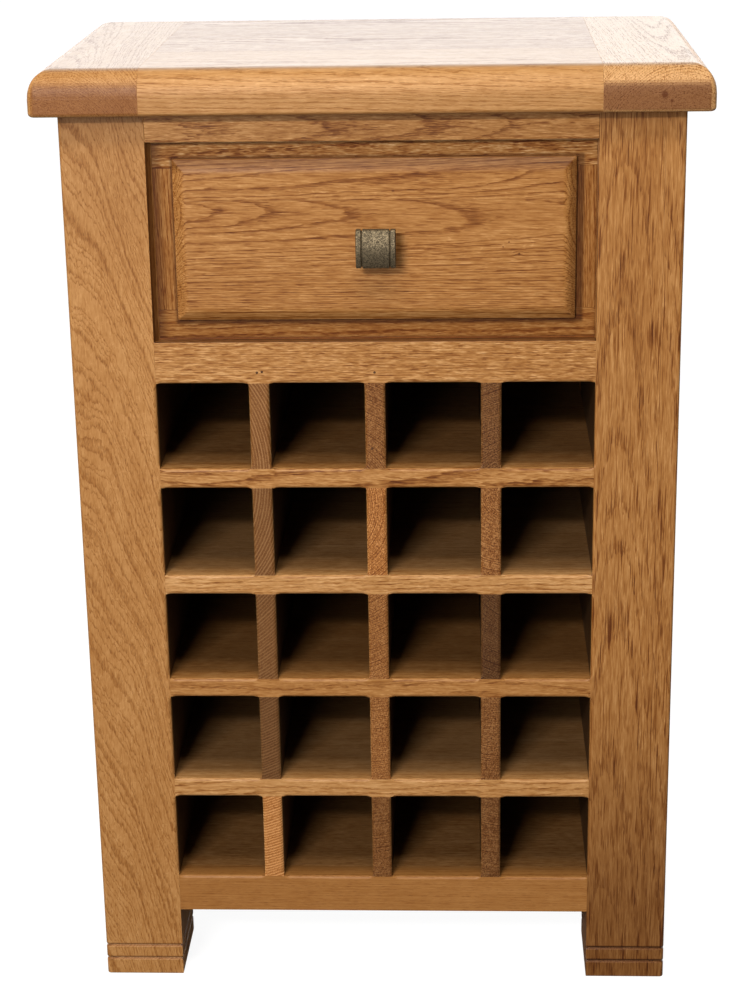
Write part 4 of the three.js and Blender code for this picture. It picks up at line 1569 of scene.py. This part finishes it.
@dataclass
class DrawerSupports(SubAssembly):
    """Runners, kickers and stops, and the strips that close the gaps round the drawer front."""

    easing: float = 0.6 * MM
    strip_easing: float = 0.15 * MM
    set_back: float = 0.3 * MM
    clearance: float = 0.15 * MM
    strip_depth: float = 6.5 * MM
    lap: float = 0.3 * MM
    slope: float = 8.6 * MM

    def build(self) -> None:
        """Finishes what carries the drawer."""
        for index, word in enumerate(("left", "right")):
            for offset, kind in enumerate(("runner", "kicker", "stop")):
                figure = Figure(DEPTH, (0.05, 0.03), (0.5, 0.4), seed=124.0 + 7 * index + 2 * offset)
                self.board(f"drawer_{kind}_{word}", figure, finish=INNER)
        low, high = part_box("drawer_front_bottom_rail")
        top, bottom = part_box("drawer_front_top_rail")[1].z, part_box("drawer_side_left")[0].z
        posts = (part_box("front_post_left")[1].x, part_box("front_post_right")[0].x)
        rails = (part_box("middle_rail")[1].z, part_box("top_rail")[0].z)
        gap, lap = self.clearance, self.lap
        # These strips stand in the gaps round the drawer front; their tones are set so that they read as the
        # shade in those gaps.
        self.strip("left", Body.CABINET, UP, (posts[0] - lap, low.x - gap), rails, 0.0, self.slope)
        self.strip("right", Body.CABINET, UP, (high.x + gap, posts[1] + lap), rails, -0.3)
        self.strip("top", Body.CABINET, ACROSS, (low.x - gap, high.x + gap), (top + gap, rails[1] + lap), 0.3)
        self.strip("bottom", Body.DRAWER, ACROSS, (low.x, high.x), (bottom, low.z + lap), -0.75)

    def strip(
        self, word: str, body: Body, grain: Grain, x: Pair, z: Pair, tone: float, slope: float = 0.0
    ) -> None:
        """Adds one strip.

        Args:
            word: Which gap it closes.
            body: The body that carries it.
            grain: The way its fibres run.
            x: Its range along x.
            z: Its range along z.
            tone: How pale it is.
            slope: How far its left edge stands forward of its right edge.
        """
        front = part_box("drawer_front_bottom_rail")[0].y + self.set_back
        back = front + self.strip_depth
        corners = ((x[0], front - slope), (x[1], front), (x[1], back), (x[0], back))
        solid = Solid.stacked([[Vector((*corner, height)) for corner in corners] for height in z])
        solid.ease(self.strip_easing)
        # Painted shade on the sloped left strip, darkest beside the post.
        shades = (Shade((x[0], x[1] - 2 * MM), EVERYWHERE, (3 * MM, 1.0), 0.9, within=True),) if slope else ()
        figure = Figure(grain, (0.05, 0.04), (0.5, 0.3), tone=tone, seed=136.0 + len(word), shades=shades)
        middle = Vector(((x[0] + x[1]) / 2, (front + back) / 2, (z[0] + z[1]) / 2))
        material = OUTER.material(f"strip {word}", figure, middle)
        place(solid.finished(f"drawer_strip_{word}", material), body, Slot.OUTER)


# Drawer


@dataclass
class Drawer(SubAssembly):
    """The drawer box, its framed front and the raised panel."""

    body: Body = Body.DRAWER
    easing: float = 0.7 * MM
    frame_easing: float = 0.35 * MM
    corner_radius: float = 1.5 * MM
    corner_steps: int = 4
    lip: float = 4 * MM
    lip_width: float = 1.4 * MM
    bevel_width: float = 13 * MM
    bevel_depth: float = 7 * MM
    bevel_swell: Pair = (0.16, 0.35)
    bevel_steps: int = 14
    soft_height: float = 0.9 * MM
    soft_reach: float = 5.2 * MM
    soft_power: float = 2.2
    soft_steps: int = 8
    tongue_inset: float = 10.3 * MM

    def profile(self) -> list[Pair]:
        """Insets and heights of the raised panel from its lip to its field, over the frame's face."""
        rim = ((0.0, 0.0), (0.0, 0.6), (0.12, 0.82), (0.3, 0.93), (0.55, 1.0))
        points = [(inset * self.lip_width, height * self.lip) for inset, height in rim]
        start = points[-1][0]
        size, lean = self.bevel_swell
        for step in range(1, self.bevel_steps + 1):
            share = step / self.bevel_steps
            swell = share + size * math.sin(math.pi * share) * (lean + share)
            inset = start + (self.bevel_width - start) * share
            points.append((inset, self.lip + self.bevel_depth * min(swell, 1.0)))
        field_height = self.lip + self.bevel_depth
        points = [point for point in points if point[1] < field_height - self.soft_height]
        inset, height = points[-1]
        for step in range(1, self.soft_steps + 1):
            share = step / self.soft_steps
            drop = (field_height - height) * (1 - share) ** self.soft_power
            points.append((inset + self.soft_reach * share, field_height - drop))
        return points

    def raised_panel(self) -> Solid:
        """The panel as one stack of rings, from the back of its tongue to its field."""
        low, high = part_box("drawer_raised_panel")
        frame_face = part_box("drawer_front_top_rail")[0].y
        levels = [(self.tongue_inset, high.y), (self.tongue_inset, frame_face)]
        levels += [(inset, frame_face - height) for inset, height in self.profile()]
        rings = []
        for inset, y in levels:
            x_span, z_span = grown((low.x, high.x), -inset), grown((low.z, high.z), -inset)
            points = outline(x_span, z_span, [self.corner_radius] * 4, self.corner_steps)
            rings.append([Vector((x, y, z)) for x, z in points])
        solid = Solid.stacked(rings)
        solid.worked(Solid.of_node("knob_screw"))
        return solid

    def build(self) -> None:
        """Shapes and finishes the drawer."""
        low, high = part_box("drawer_raised_panel")
        front = low.y
        panel = Figure(
            ACROSS, (0.055, 0.05), (1.2, 1.0), 2.1 * MM, 7 * MM, 1.6, -0.13, seed=142.0,
            joints=(low.z + 0.041, high.z - 0.041), joint_axis=2, shift=0.5, grit=1.1, lines=1.3, jag=0.3,
            gloss=0.6, bands=0.5, stretch=1.4, cut=(0.8, 0.97),
            knots=(
                Knot((0.1453, front, 0.8134), 1.9 * MM, swelling=0.5),
                Knot((0.1353, front, 0.8256), 1.2 * MM, swelling=0.3),
                Knot((0.1294, front, 0.8206), 1.1 * MM, swelling=0.3),
                Knot((0.0211, front, 0.8774), 1.0 * MM, (0.4, 0.15, 1.0), 0.3),
                Knot((-0.1938, front, 0.7811), 1.4 * MM, swelling=0.4),
            ),
            # Painted shade on the panel's bevels, strongest on the top one under the overhang and the right
            # one turned from the light.
            shades=(Shade((-0.196, 0.190), (0.749, 0.893), (0.012, 0.012), 0.56),),
        )
        # Painted shade round the recessed front under the top rail and beside the posts, and the raised
        # panel's painted shadow on the frame.
        shades = (
            Shade((-0.205, 0.217), (0.731, 0.922), (0.013, 0.007), 0.8),
            Shade((-0.198, 0.2075), (0.7435, 0.9095), (0.004, 0.004), 0.85, within=True),
        )
        rail = Figure(
            ACROSS, (0.08, 0.02), (0.5, 0.3), 1.8 * MM, 8 * MM, 0.9, -0.22, seed=146.0, grit=2.5, jag=0.5,
            shades=shades, gloss=0.5,
        )
        stile = replace(rail, grain=UP, pith=(0.06, 0.05), lean=(1.7, 0.6), strength=1.4, grit=1.2, jag=0.4)
        self.board("drawer_raised_panel", panel, self.raised_panel(), easing=0.0)
        self.framed("top_rail", rail)
        self.framed("bottom_rail", replace(rail, tone=-0.34, seed=149.0, grit=1.6))
        for index, word in enumerate(("left", "right")):
            figure = replace(stile, tone=-0.28 - 0.1 * index, seed=152.0 + 4 * index)
            self.framed(f"stile_{word}", figure)
            side = Figure(DEPTH, (0.05, 0.02), (0.6, 0.4), seed=160.0 + 4 * index)
            self.board(f"drawer_side_{word}", side, finish=INNER, easing=0.4 * MM)
        self.board("drawer_back", Figure(ACROSS, (0.05, 0.02), (0.6, 0.4), seed=168.0), finish=INNER)
        bottom = Figure(ACROSS, (0.02, -0.06), (0.6, 0.6), seed=171.0)
        self.board("drawer_bottom", bottom, finish=INNER, easing=0.3 * MM)

    def framed(self, word: str, figure: Figure) -> None:
        """Finishes one member of the frame."""
        self.board(f"drawer_front_{word}", figure, finish=FRAME, easing=self.frame_easing)


class Rule:
    """Geometry nodes with named inputs that end in real instances with one material."""

    def __init__(self, name: str, sockets: dict[str, str]) -> None:
        """Makes the tree with its sockets.

        Args:
            name: The tree's name.
            sockets: The kind of each input between the first, Geometry, and the last, Material.
        """
        self.tree = bpy.data.node_groups.new(name, "GeometryNodeTree")
        for key, kind in {"Geometry": "Geometry", **sockets, "Material": "Material"}.items():
            self.tree.interface.new_socket(name=key, in_out="INPUT", socket_type=f"NodeSocket{kind}")
        self.tree.interface.new_socket(name="Geometry", in_out="OUTPUT", socket_type="NodeSocketGeometry")
        self.wiring = Wiring(self.tree)
        self.inputs = self.wiring.add("NodeGroupInput").outputs

    def step(self, kind: str, **values: Value) -> Socket:
        """Adds a node with inputs by name, with _ for a space, and gives its first output."""
        inputs = {key.replace("_", " "): value for key, value in values.items()}
        return self.wiring.add(f"GeometryNode{kind}", inputs).outputs[0]

    def close(self, shape: Socket) -> None:
        """Makes instances real, sets the material and ends the tree."""
        whole = self.step("RealizeInstances", Geometry=shape)
        skin = self.step("SetMaterial", Geometry=whole, Material=self.inputs["Material"])
        self.wiring.add("NodeGroupOutput", {0: skin})

    def run(self, blank: bpy.types.Object, values: dict[str, object]) -> Solid:
        """Runs the nodes on an object and takes the object away.

        Args:
            blank: The object that the nodes start from.
            values: The tree's named inputs.

        Returns:
            The finished solid.
        """
        modifier = blank.modifiers.new("rule", "NODES")
        modifier.node_group = self.tree
        for item in self.tree.interface.items_tree:
            if item.in_out == "INPUT" and item.name in values:
                modifier[item.identifier] = values[item.name]
        evaluated = blank.evaluated_get(bpy.context.evaluated_depsgraph_get())
        made = bpy.data.meshes.new_from_object(evaluated)
        blank.modifiers.remove(modifier)
        bpy.data.objects.remove(blank)
        return Solid(made)


@dataclass
class Knob:
    """The square knob: a hammered plate with a crown, a groove near each end, on a round stem."""

    crown: float = 5.5 * MM
    plate: float = 6 * MM
    rim: float = 5 * MM
    groove_width: float = 1.7 * MM
    groove_depth: float = 1.5 * MM
    groove_steps: int = 6
    edge: float = 0.9 * MM
    edge_drop: float = 0.6
    groove_power: float = 0.7
    edge_angles: tuple[float, ...] = (0.0, 0.5, 1.0, QUARTER)
    corner_steps: int = 3
    side_steps: int = 8
    stem_radius: float = 9 * MM
    stem_sides: int = 40
    dent_depth: float = 0.16 * MM
    dent_size: float = 1.7 * MM
    grid: float = 0.45 * MM
    seed: int = 5

    def section(self, x: float, inset: float) -> Ring:
        """The plate's outline across its crown.

        Args:
            x: Where along the knob it lies.
            inset: How far it is pushed in.

        Returns:
            Its points: down the front, back along the bottom, up the back and forwards on top.
        """
        low, high = self.box
        middle, half = (low.z + high.z) / 2, (high.z - low.z) / 2
        back = low.y + self.crown + self.plate
        count = int(2 * half / self.grid)
        front = []
        for i in range(count + 1):
            share = 1 - 2 * i / count
            drop = self.edge_drop * self.edge * max(0.0, 1 - min(i, count - i) / self.corner_steps) ** 2
            front.append((low.y + self.crown * share * share + drop, half * share))
        start = front[-1][0]
        down = [(start + (back - start) * i / self.side_steps, -half) for i in range(1, self.side_steps + 1)]
        wide = count // 2
        under = [(back, half * (2 * i / wide - 1)) for i in range(1, wide)]
        up = [(y, half) for y, _ in reversed(down)]
        centre = (low.y + back) / 2 + 0.5 * self.crown
        ring = []
        for y, z in (*front, *down, *under, *up):
            pushed_y = y - math.copysign(min(inset, abs(y - centre)), y - centre)
            pushed_z = z - math.copysign(inset, z) * min(1, 2 * abs(z) / half)
            ring.append(Vector((x, pushed_y, middle + pushed_z)))
        return ring

    def steps(self) -> list[Pair]:
        """Places along the knob and how far the section is pushed in there."""
        low, high = self.box
        width = high.x - low.x

        def level(start: float, stop: float) -> list[Pair]:
            """Places between two ends, a grid step apart, where nothing is pushed in."""
            return [(start + i * self.grid, 0.0) for i in range(math.ceil((stop - start) / self.grid))]

        found = [(self.edge * (1 - math.cos(a)), self.edge * (1 - math.sin(a))) for a in self.edge_angles]
        found += level(self.edge + self.grid, self.rim - 0.3 * self.grid)
        for step in range(self.groove_steps + 1):
            share = step / self.groove_steps
            depth = self.groove_depth * math.sin(math.pi * share) ** self.groove_power
            found.append((self.rim + self.groove_width * share, depth))
        found += level(self.rim + self.groove_width + self.grid, width / 2)
        found += [(width - place, inset) for place, inset in reversed(found)]
        return [(low.x + place, inset) for place, inset in found]

    def hammered(self) -> Rule:
        """Geometry nodes that dent the skin of a dense mesh and note how deep each point lies."""
        rule = Rule("hammered skin", {"Dent Size": "Float", "Dent Depth": "Float", "Seed": "Int"})
        w, inputs = rule.wiring, rule.inputs
        at = w.vector("SCALE", rule.step("InputPosition"), w.math("DIVIDE", 1.0, inputs["Dent Size"]))
        at = w.vector("ADD", at, w.combine(inputs["Seed"], 0.0, 0.0))
        bowls = w.add("ShaderNodeTexVoronoi", feature="SMOOTH_F1")
        for name, value in (("Vector", at), ("Scale", 1.0), ("Smoothness", 0.35)):
            w.feed(bowls.inputs[name], value)
        grit = w.noise(w.vector("SCALE", at, 2.6))
        level = w.plus(w.times(bowls.outputs["Distance"], 0.8), w.centred(grit, 0.9))
        depth = w.times(w.minus(level, 1.0), inputs["Dent Depth"])
        push = w.vector("SCALE", rule.step("InputNormal"), w.math("MINIMUM", depth, 0.0))
        note = w.add("GeometryNodeStoreNamedAttribute", data_type="FLOAT", domain="POINT")
        hollow = w.remap(level, 0.75, 0.15, (0.0, 0.45))
        for name, value in (("Geometry", inputs["Geometry"]), ("Name", "hollow"), ("Value", hollow)):
            w.feed(note.inputs[name], value)
        rule.close(rule.step("SetPosition", Geometry=note.outputs[0], Offset=push))
        return rule

    def build(self) -> None:
        """Shapes, dents and finishes the knob."""
        self.box = low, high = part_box("drawer_knob")
        middle = (low + high) / 2
        plate = Solid.stacked([self.section(x, inset) for x, inset in self.steps()])
        material = BrassFinish().material()
        values = {"Dent Size": self.dent_size, "Dent Depth": self.dent_depth, "Seed": self.seed}
        piece = self.hammered().run(plate.blank(), {**values, "Material": material})
        back, radius = low.y + self.crown + self.plate, self.stem_radius
        stem = (
            (radius, back - 0.2 * MM), (radius * 0.72, back + 3 * MM), (radius * 0.68, high.y - 4 * MM),
            (radius, high.y - 1.2 * MM), (radius, high.y),
        )
        rings = []
        for size, y in stem:
            points = circle(size, self.stem_sides)
            rings.append([Vector((middle.x + u, y, middle.z + v)) for u, v in points])
        piece.join(Solid.stacked(rings))
        place(piece.finished("drawer_knob_hammered", material), Body.DRAWER, Slot.BRASS, ["drawer_knob"])


@dataclass
class Fastenings:
    """Screws and filled pin holes, each kind repeated over its places."""

    head_radius: float = 4.2 * MM
    head_height: float = 3 * MM
    cap: float = 2.6 * MM
    shank_radius: float = 2 * MM
    thread: float = 0.35 * MM
    pitch: float = 2 * MM
    plain_length: float = 3 * MM
    recess: float = 1.4 * MM
    sides: int = 20
    pin_radius: float = 1.4 * MM
    pin_sides: int = 10
    pin_places: tuple[Pair, ...] = ((-0.1194, 0.6925), (-0.1143, 0.6932), (0.0, 0.6922), (-0.0034, 0.6118))
    spin_seed: int = 3

    def scatter(self) -> Rule:
        """Geometry nodes that set one pattern object on each point, each turned by its own angle."""
        rule = Rule("set in a row", {"Pattern": "Object", "Tilt": "Vector", "Spin Seed": "Int"})
        w, inputs = rule.wiring, rule.inputs
        pattern = w.add("GeometryNodeObjectInfo", {"Object": inputs["Pattern"]}).outputs["Geometry"]
        turns = {3: math.pi, "Seed": inputs["Spin Seed"]}
        chance = w.add("FunctionNodeRandomValue", turns, data_type="FLOAT")
        put = rule.step(
            "InstanceOnPoints", Points=inputs["Geometry"], Instance=pattern, Rotation=inputs["Tilt"]
        )
        spin = w.combine(0.0, 0.0, chance.outputs[1])
        rule.close(rule.step("RotateInstances", Instances=put, Rotation=spin))
        return rule

    def screw(self, length: float, countersunk: bool) -> Solid:
        """A screw pointing up, with the outside of its head at or under height zero.

        Args:
            length: Its length from under a round head, or from the top of a countersunk one.
            countersunk: Whether the head is a cone.

        Returns:
            The screw as a solid.
        """
        head, shank, cap = self.head_radius, self.shank_radius, self.cap
        if countersunk:
            profile = [(head - 0.3 * MM, 0.0), (head, 0.25 * MM), (shank, self.head_height)]
        else:
            dome = ((0.55, -cap), (0.85, -0.8 * cap), (1.0, -0.35 * cap), (1.0, 0.0))
            profile = [*((head * share, height) for share, height in dome), (shank, 0.0)]
        height = self.head_height + self.plain_length
        core = shank - self.thread
        while height < length - self.plain_length:
            ridge = ((core, 0.0), (shank, 0.35), (core, 0.7))
            profile += [(radius, height + share * self.pitch) for radius, share in ridge]
            height += self.pitch
        profile.append((0.3 * MM, length))
        solid = Solid.turned(profile, self.sides)
        top = profile[0][1]
        arm, half_width = self.recess * 1.7, 0.35 * MM
        for x, y in ((arm, half_width), (half_width, arm)):
            solid.worked(Solid.block((-x, -y, top - MM), (x, y, top + self.recess)))
        return solid

    def pin(self) -> Solid:
        """The low dome of a filled pin hole, facing up."""
        dome = ((1.0, -0.3), (1.0, 0.0), (0.8, 0.03), (0.3, 0.05))
        profile = [(self.pin_radius * share, height * MM) for share, height in dome]
        return Solid.turned(profile, self.pin_sides)

    def set_out(
        self, name: str, pattern: Solid, points: Sequence[Sequence[float]], tilt: Sequence[float],
        material: bpy.types.Material,
    ) -> bpy.types.Object:
        """Repeats a pattern over its places as one piece.

        Args:
            name: The piece's name.
            pattern: The solid that is repeated.
            points: Its places.
            tilt: How every copy is turned.
            material: The piece's material.

        Returns:
            The piece.
        """
        model = pattern.blank()
        places = bpy.data.meshes.new(name)
        places.from_pydata(points, [], [])
        values = {"Pattern": model, "Tilt": tilt, "Spin Seed": self.spin_seed, "Material": material}
        piece = self.scattering.run(linked(name, places), values)
        bpy.data.objects.remove(model)
        return piece.finished(name, material)

    def build(self) -> None:
        """Makes the screws and the filled pin holes."""
        self.scattering = self.scatter()
        steel = SteelFinish().material()
        nodes = [f"top_screw_{where}_{word}" for where in ("front", "rear") for word in ("left", "right")]
        boxes = [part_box(node) for node in nodes]
        points = [((low.x + high.x) / 2, (low.y + high.y) / 2, low.z) for low, high in boxes]
        length = boxes[0][1].z - boxes[0][0].z
        screws = self.set_out("top_screws", self.screw(length, True), points, ORIGIN, steel)
        place(screws, Body.CABINET, Slot.STEEL, nodes)

        forwards = (QUARTER, 0.0, 0.0)
        low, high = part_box("knob_screw")
        seat = high.y - self.cap
        middle = ((low.x + high.x) / 2, seat, (low.z + high.z) / 2)
        screw = self.set_out("knob_screw_driven", self.screw(seat - low.y, False), [middle], forwards, steel)
        place(screw, Body.DRAWER, Slot.STEEL, ["knob_screw"])

        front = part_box("middle_rail")[0].y
        filler = replace(OUTER, name="filler", pale=(0.10, 0.04, 0.014), deep=(0.05, 0.018, 0.006))
        material = filler.material("pin filler", Figure(seed=190.0), Vector())
        points = [(x, front, z) for x, z in self.pin_places]
        pins = self.set_out("filled_pin_holes", self.pin(), points, forwards, material)
        place(pins, Body.CABINET, Slot.OUTER)


# Studio


@dataclass
class Studio:
    """Floor, light and the camera at the photograph's viewing angle."""

    image_width: int = 740
    focal_pixels: float = 2243.91
    sensor_width: float = 36.0
    view_depth: float = 200.0
    camera_place: tuple[float, float, float] = (0.09344, -2.37113, 1.29259)
    camera_turn: tuple[float, float, float] = (-18.5497, 0.9029, 2.3136)
    floor_half: float = 30.0
    floor_grey: float = 0.2
    floor_glow: float = 0.93

    def camera(self) -> None:
        """Sets the camera."""
        data = bpy.data.cameras.new("camera")
        data.sensor_fit = "HORIZONTAL"
        data.sensor_width = self.sensor_width
        data.lens = self.sensor_width * self.focal_pixels / self.image_width
        data.clip_end = self.view_depth
        camera = linked("camera", data)
        turn = Euler([math.radians(a) for a in self.camera_turn], "XYZ").to_matrix()
        camera.rotation_euler = (turn @ Matrix.Rotation(QUARTER, 3, "X")).to_euler()
        camera.location = self.camera_place
        bpy.context.scene.camera = camera

    def floor(self) -> None:
        """Lays a plain pale floor."""
        mesh = bpy.data.meshes.new("floor")
        half = self.floor_half
        corners = [(-half, -half, 0), (half, -half, 0), (half, half, 0), (-half, half, 0)]
        mesh.from_pydata(corners, [], [(0, 1, 2, 3)])
        material = bpy.data.materials.new("pale floor")
        material.use_nodes = True
        material.node_tree.nodes.clear()
        w = Wiring(material.node_tree)
        grey = {"Color": (self.floor_grey, self.floor_grey, self.floor_grey, 1)}
        glow = w.add("ShaderNodeEmission", {"Color": (1, 1, 1, 1), "Strength": self.floor_glow}).outputs[0]
        seen = w.add("ShaderNodeBsdfDiffuse", grey).outputs[0]
        bright = w.add("ShaderNodeAddShader", {0: seen, 1: glow}).outputs[0]
        dim = w.add("ShaderNodeBsdfDiffuse", grey).outputs[0]
        path = w.add("ShaderNodeLightPath").outputs["Is Camera Ray"]
        mix = w.add("ShaderNodeMixShader", {0: path, 1: dim, 2: bright}).outputs[0]
        w.add("ShaderNodeOutputMaterial", {"Surface": mix})
        mesh.materials.append(material)
        floor = linked("floor", mesh)

    def surroundings(self) -> None:
        """A white studio that is brighter behind and above the cabinet than before it."""
        world = bpy.data.worlds.new("studio")
        bpy.context.scene.world = world
        world.use_nodes = True
        world.node_tree.nodes.clear()
        w = Wiring(world.node_tree)
        _, y, z = w.split(w.add("ShaderNodeTexCoord").outputs["Generated"])
        behind = w.remap(y, 0.2, 0.7, (0.03, 0.9))
        above = w.remap(z, 0.45, 0.95, (0.0, 0.15))
        screen = w.times(w.remap(y, 0.45, 0.75), w.remap(z, 0.75, 0.4, (0.0, 2.2)))
        path = w.add("ShaderNodeLightPath").outputs["Is Camera Ray"]
        inputs = {0: path, 2: w.plus(behind, above, screen), 3: 1.0}
        chosen = w.add("ShaderNodeMix", inputs, data_type="FLOAT").outputs[0]
        glow = w.add("ShaderNodeBackground", {"Color": (1, 1, 1, 1), "Strength": chosen}).outputs[0]
        w.add("ShaderNodeOutputWorld", {"Surface": glow})

    def lamp(
        self, name: str, at: Sequence[float], aim: Sequence[float], size: Pair, watts: float, colour: Colour
    ) -> None:
        """Hangs a soft rectangular lamp.

        Args:
            name: The lamp's name.
            at: Where it hangs.
            aim: The place that it points at.
            size: Its width and height.
            watts: Its power.
            colour: The colour of its light.
        """
        data = bpy.data.lights.new(name, "AREA")
        data.shape = "RECTANGLE"
        data.size, data.size_y = size
        data.energy = watts
        data.color = colour
        lamp = linked(name, data)
        lamp.location = at
        lamp.rotation_euler = (Vector(aim) - Vector(at)).to_track_quat("-Z", "Y").to_euler()

    def build(self) -> None:
        """Sets the studio up."""
        bpy.context.scene.view_settings.view_transform = "Standard"
        self.camera()
        self.floor()
        self.surroundings()
        middle, warm = (0.0, -0.18, 0.55), (1.0, 0.975, 0.94)
        self.lamp("key", (-1.35, -4.33, 2.95), middle, (1.4, 0.3), 143.0, warm)
        self.lamp("fill", (-1.2, -4.0, 1.5), middle, (1.4, 1.4), 55.0, warm)
        self.lamp("overhead", (-0.1, -1.3, 2.8), (0.0, -0.2, 1.0), (1.4, 0.45), 26.0, (1.0, 0.95, 0.84))


def main() -> None:
    """Builds the cabinet piece by piece, in order."""
    logging.basicConfig(level=logging.INFO, format="%(name)s: %(message)s")
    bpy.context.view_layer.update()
    Studio().build()
    cells = Cells()
    Top().build()
    Posts().build(cells)
    FrontRails().build(cells)
    Rack().build(cells)
    Sides().build()
    Back().build()
    DrawerSupports().build()
    Drawer().build()
    Knob().build()
    Fastenings().build()


if __name__ == "__main__":
    main()
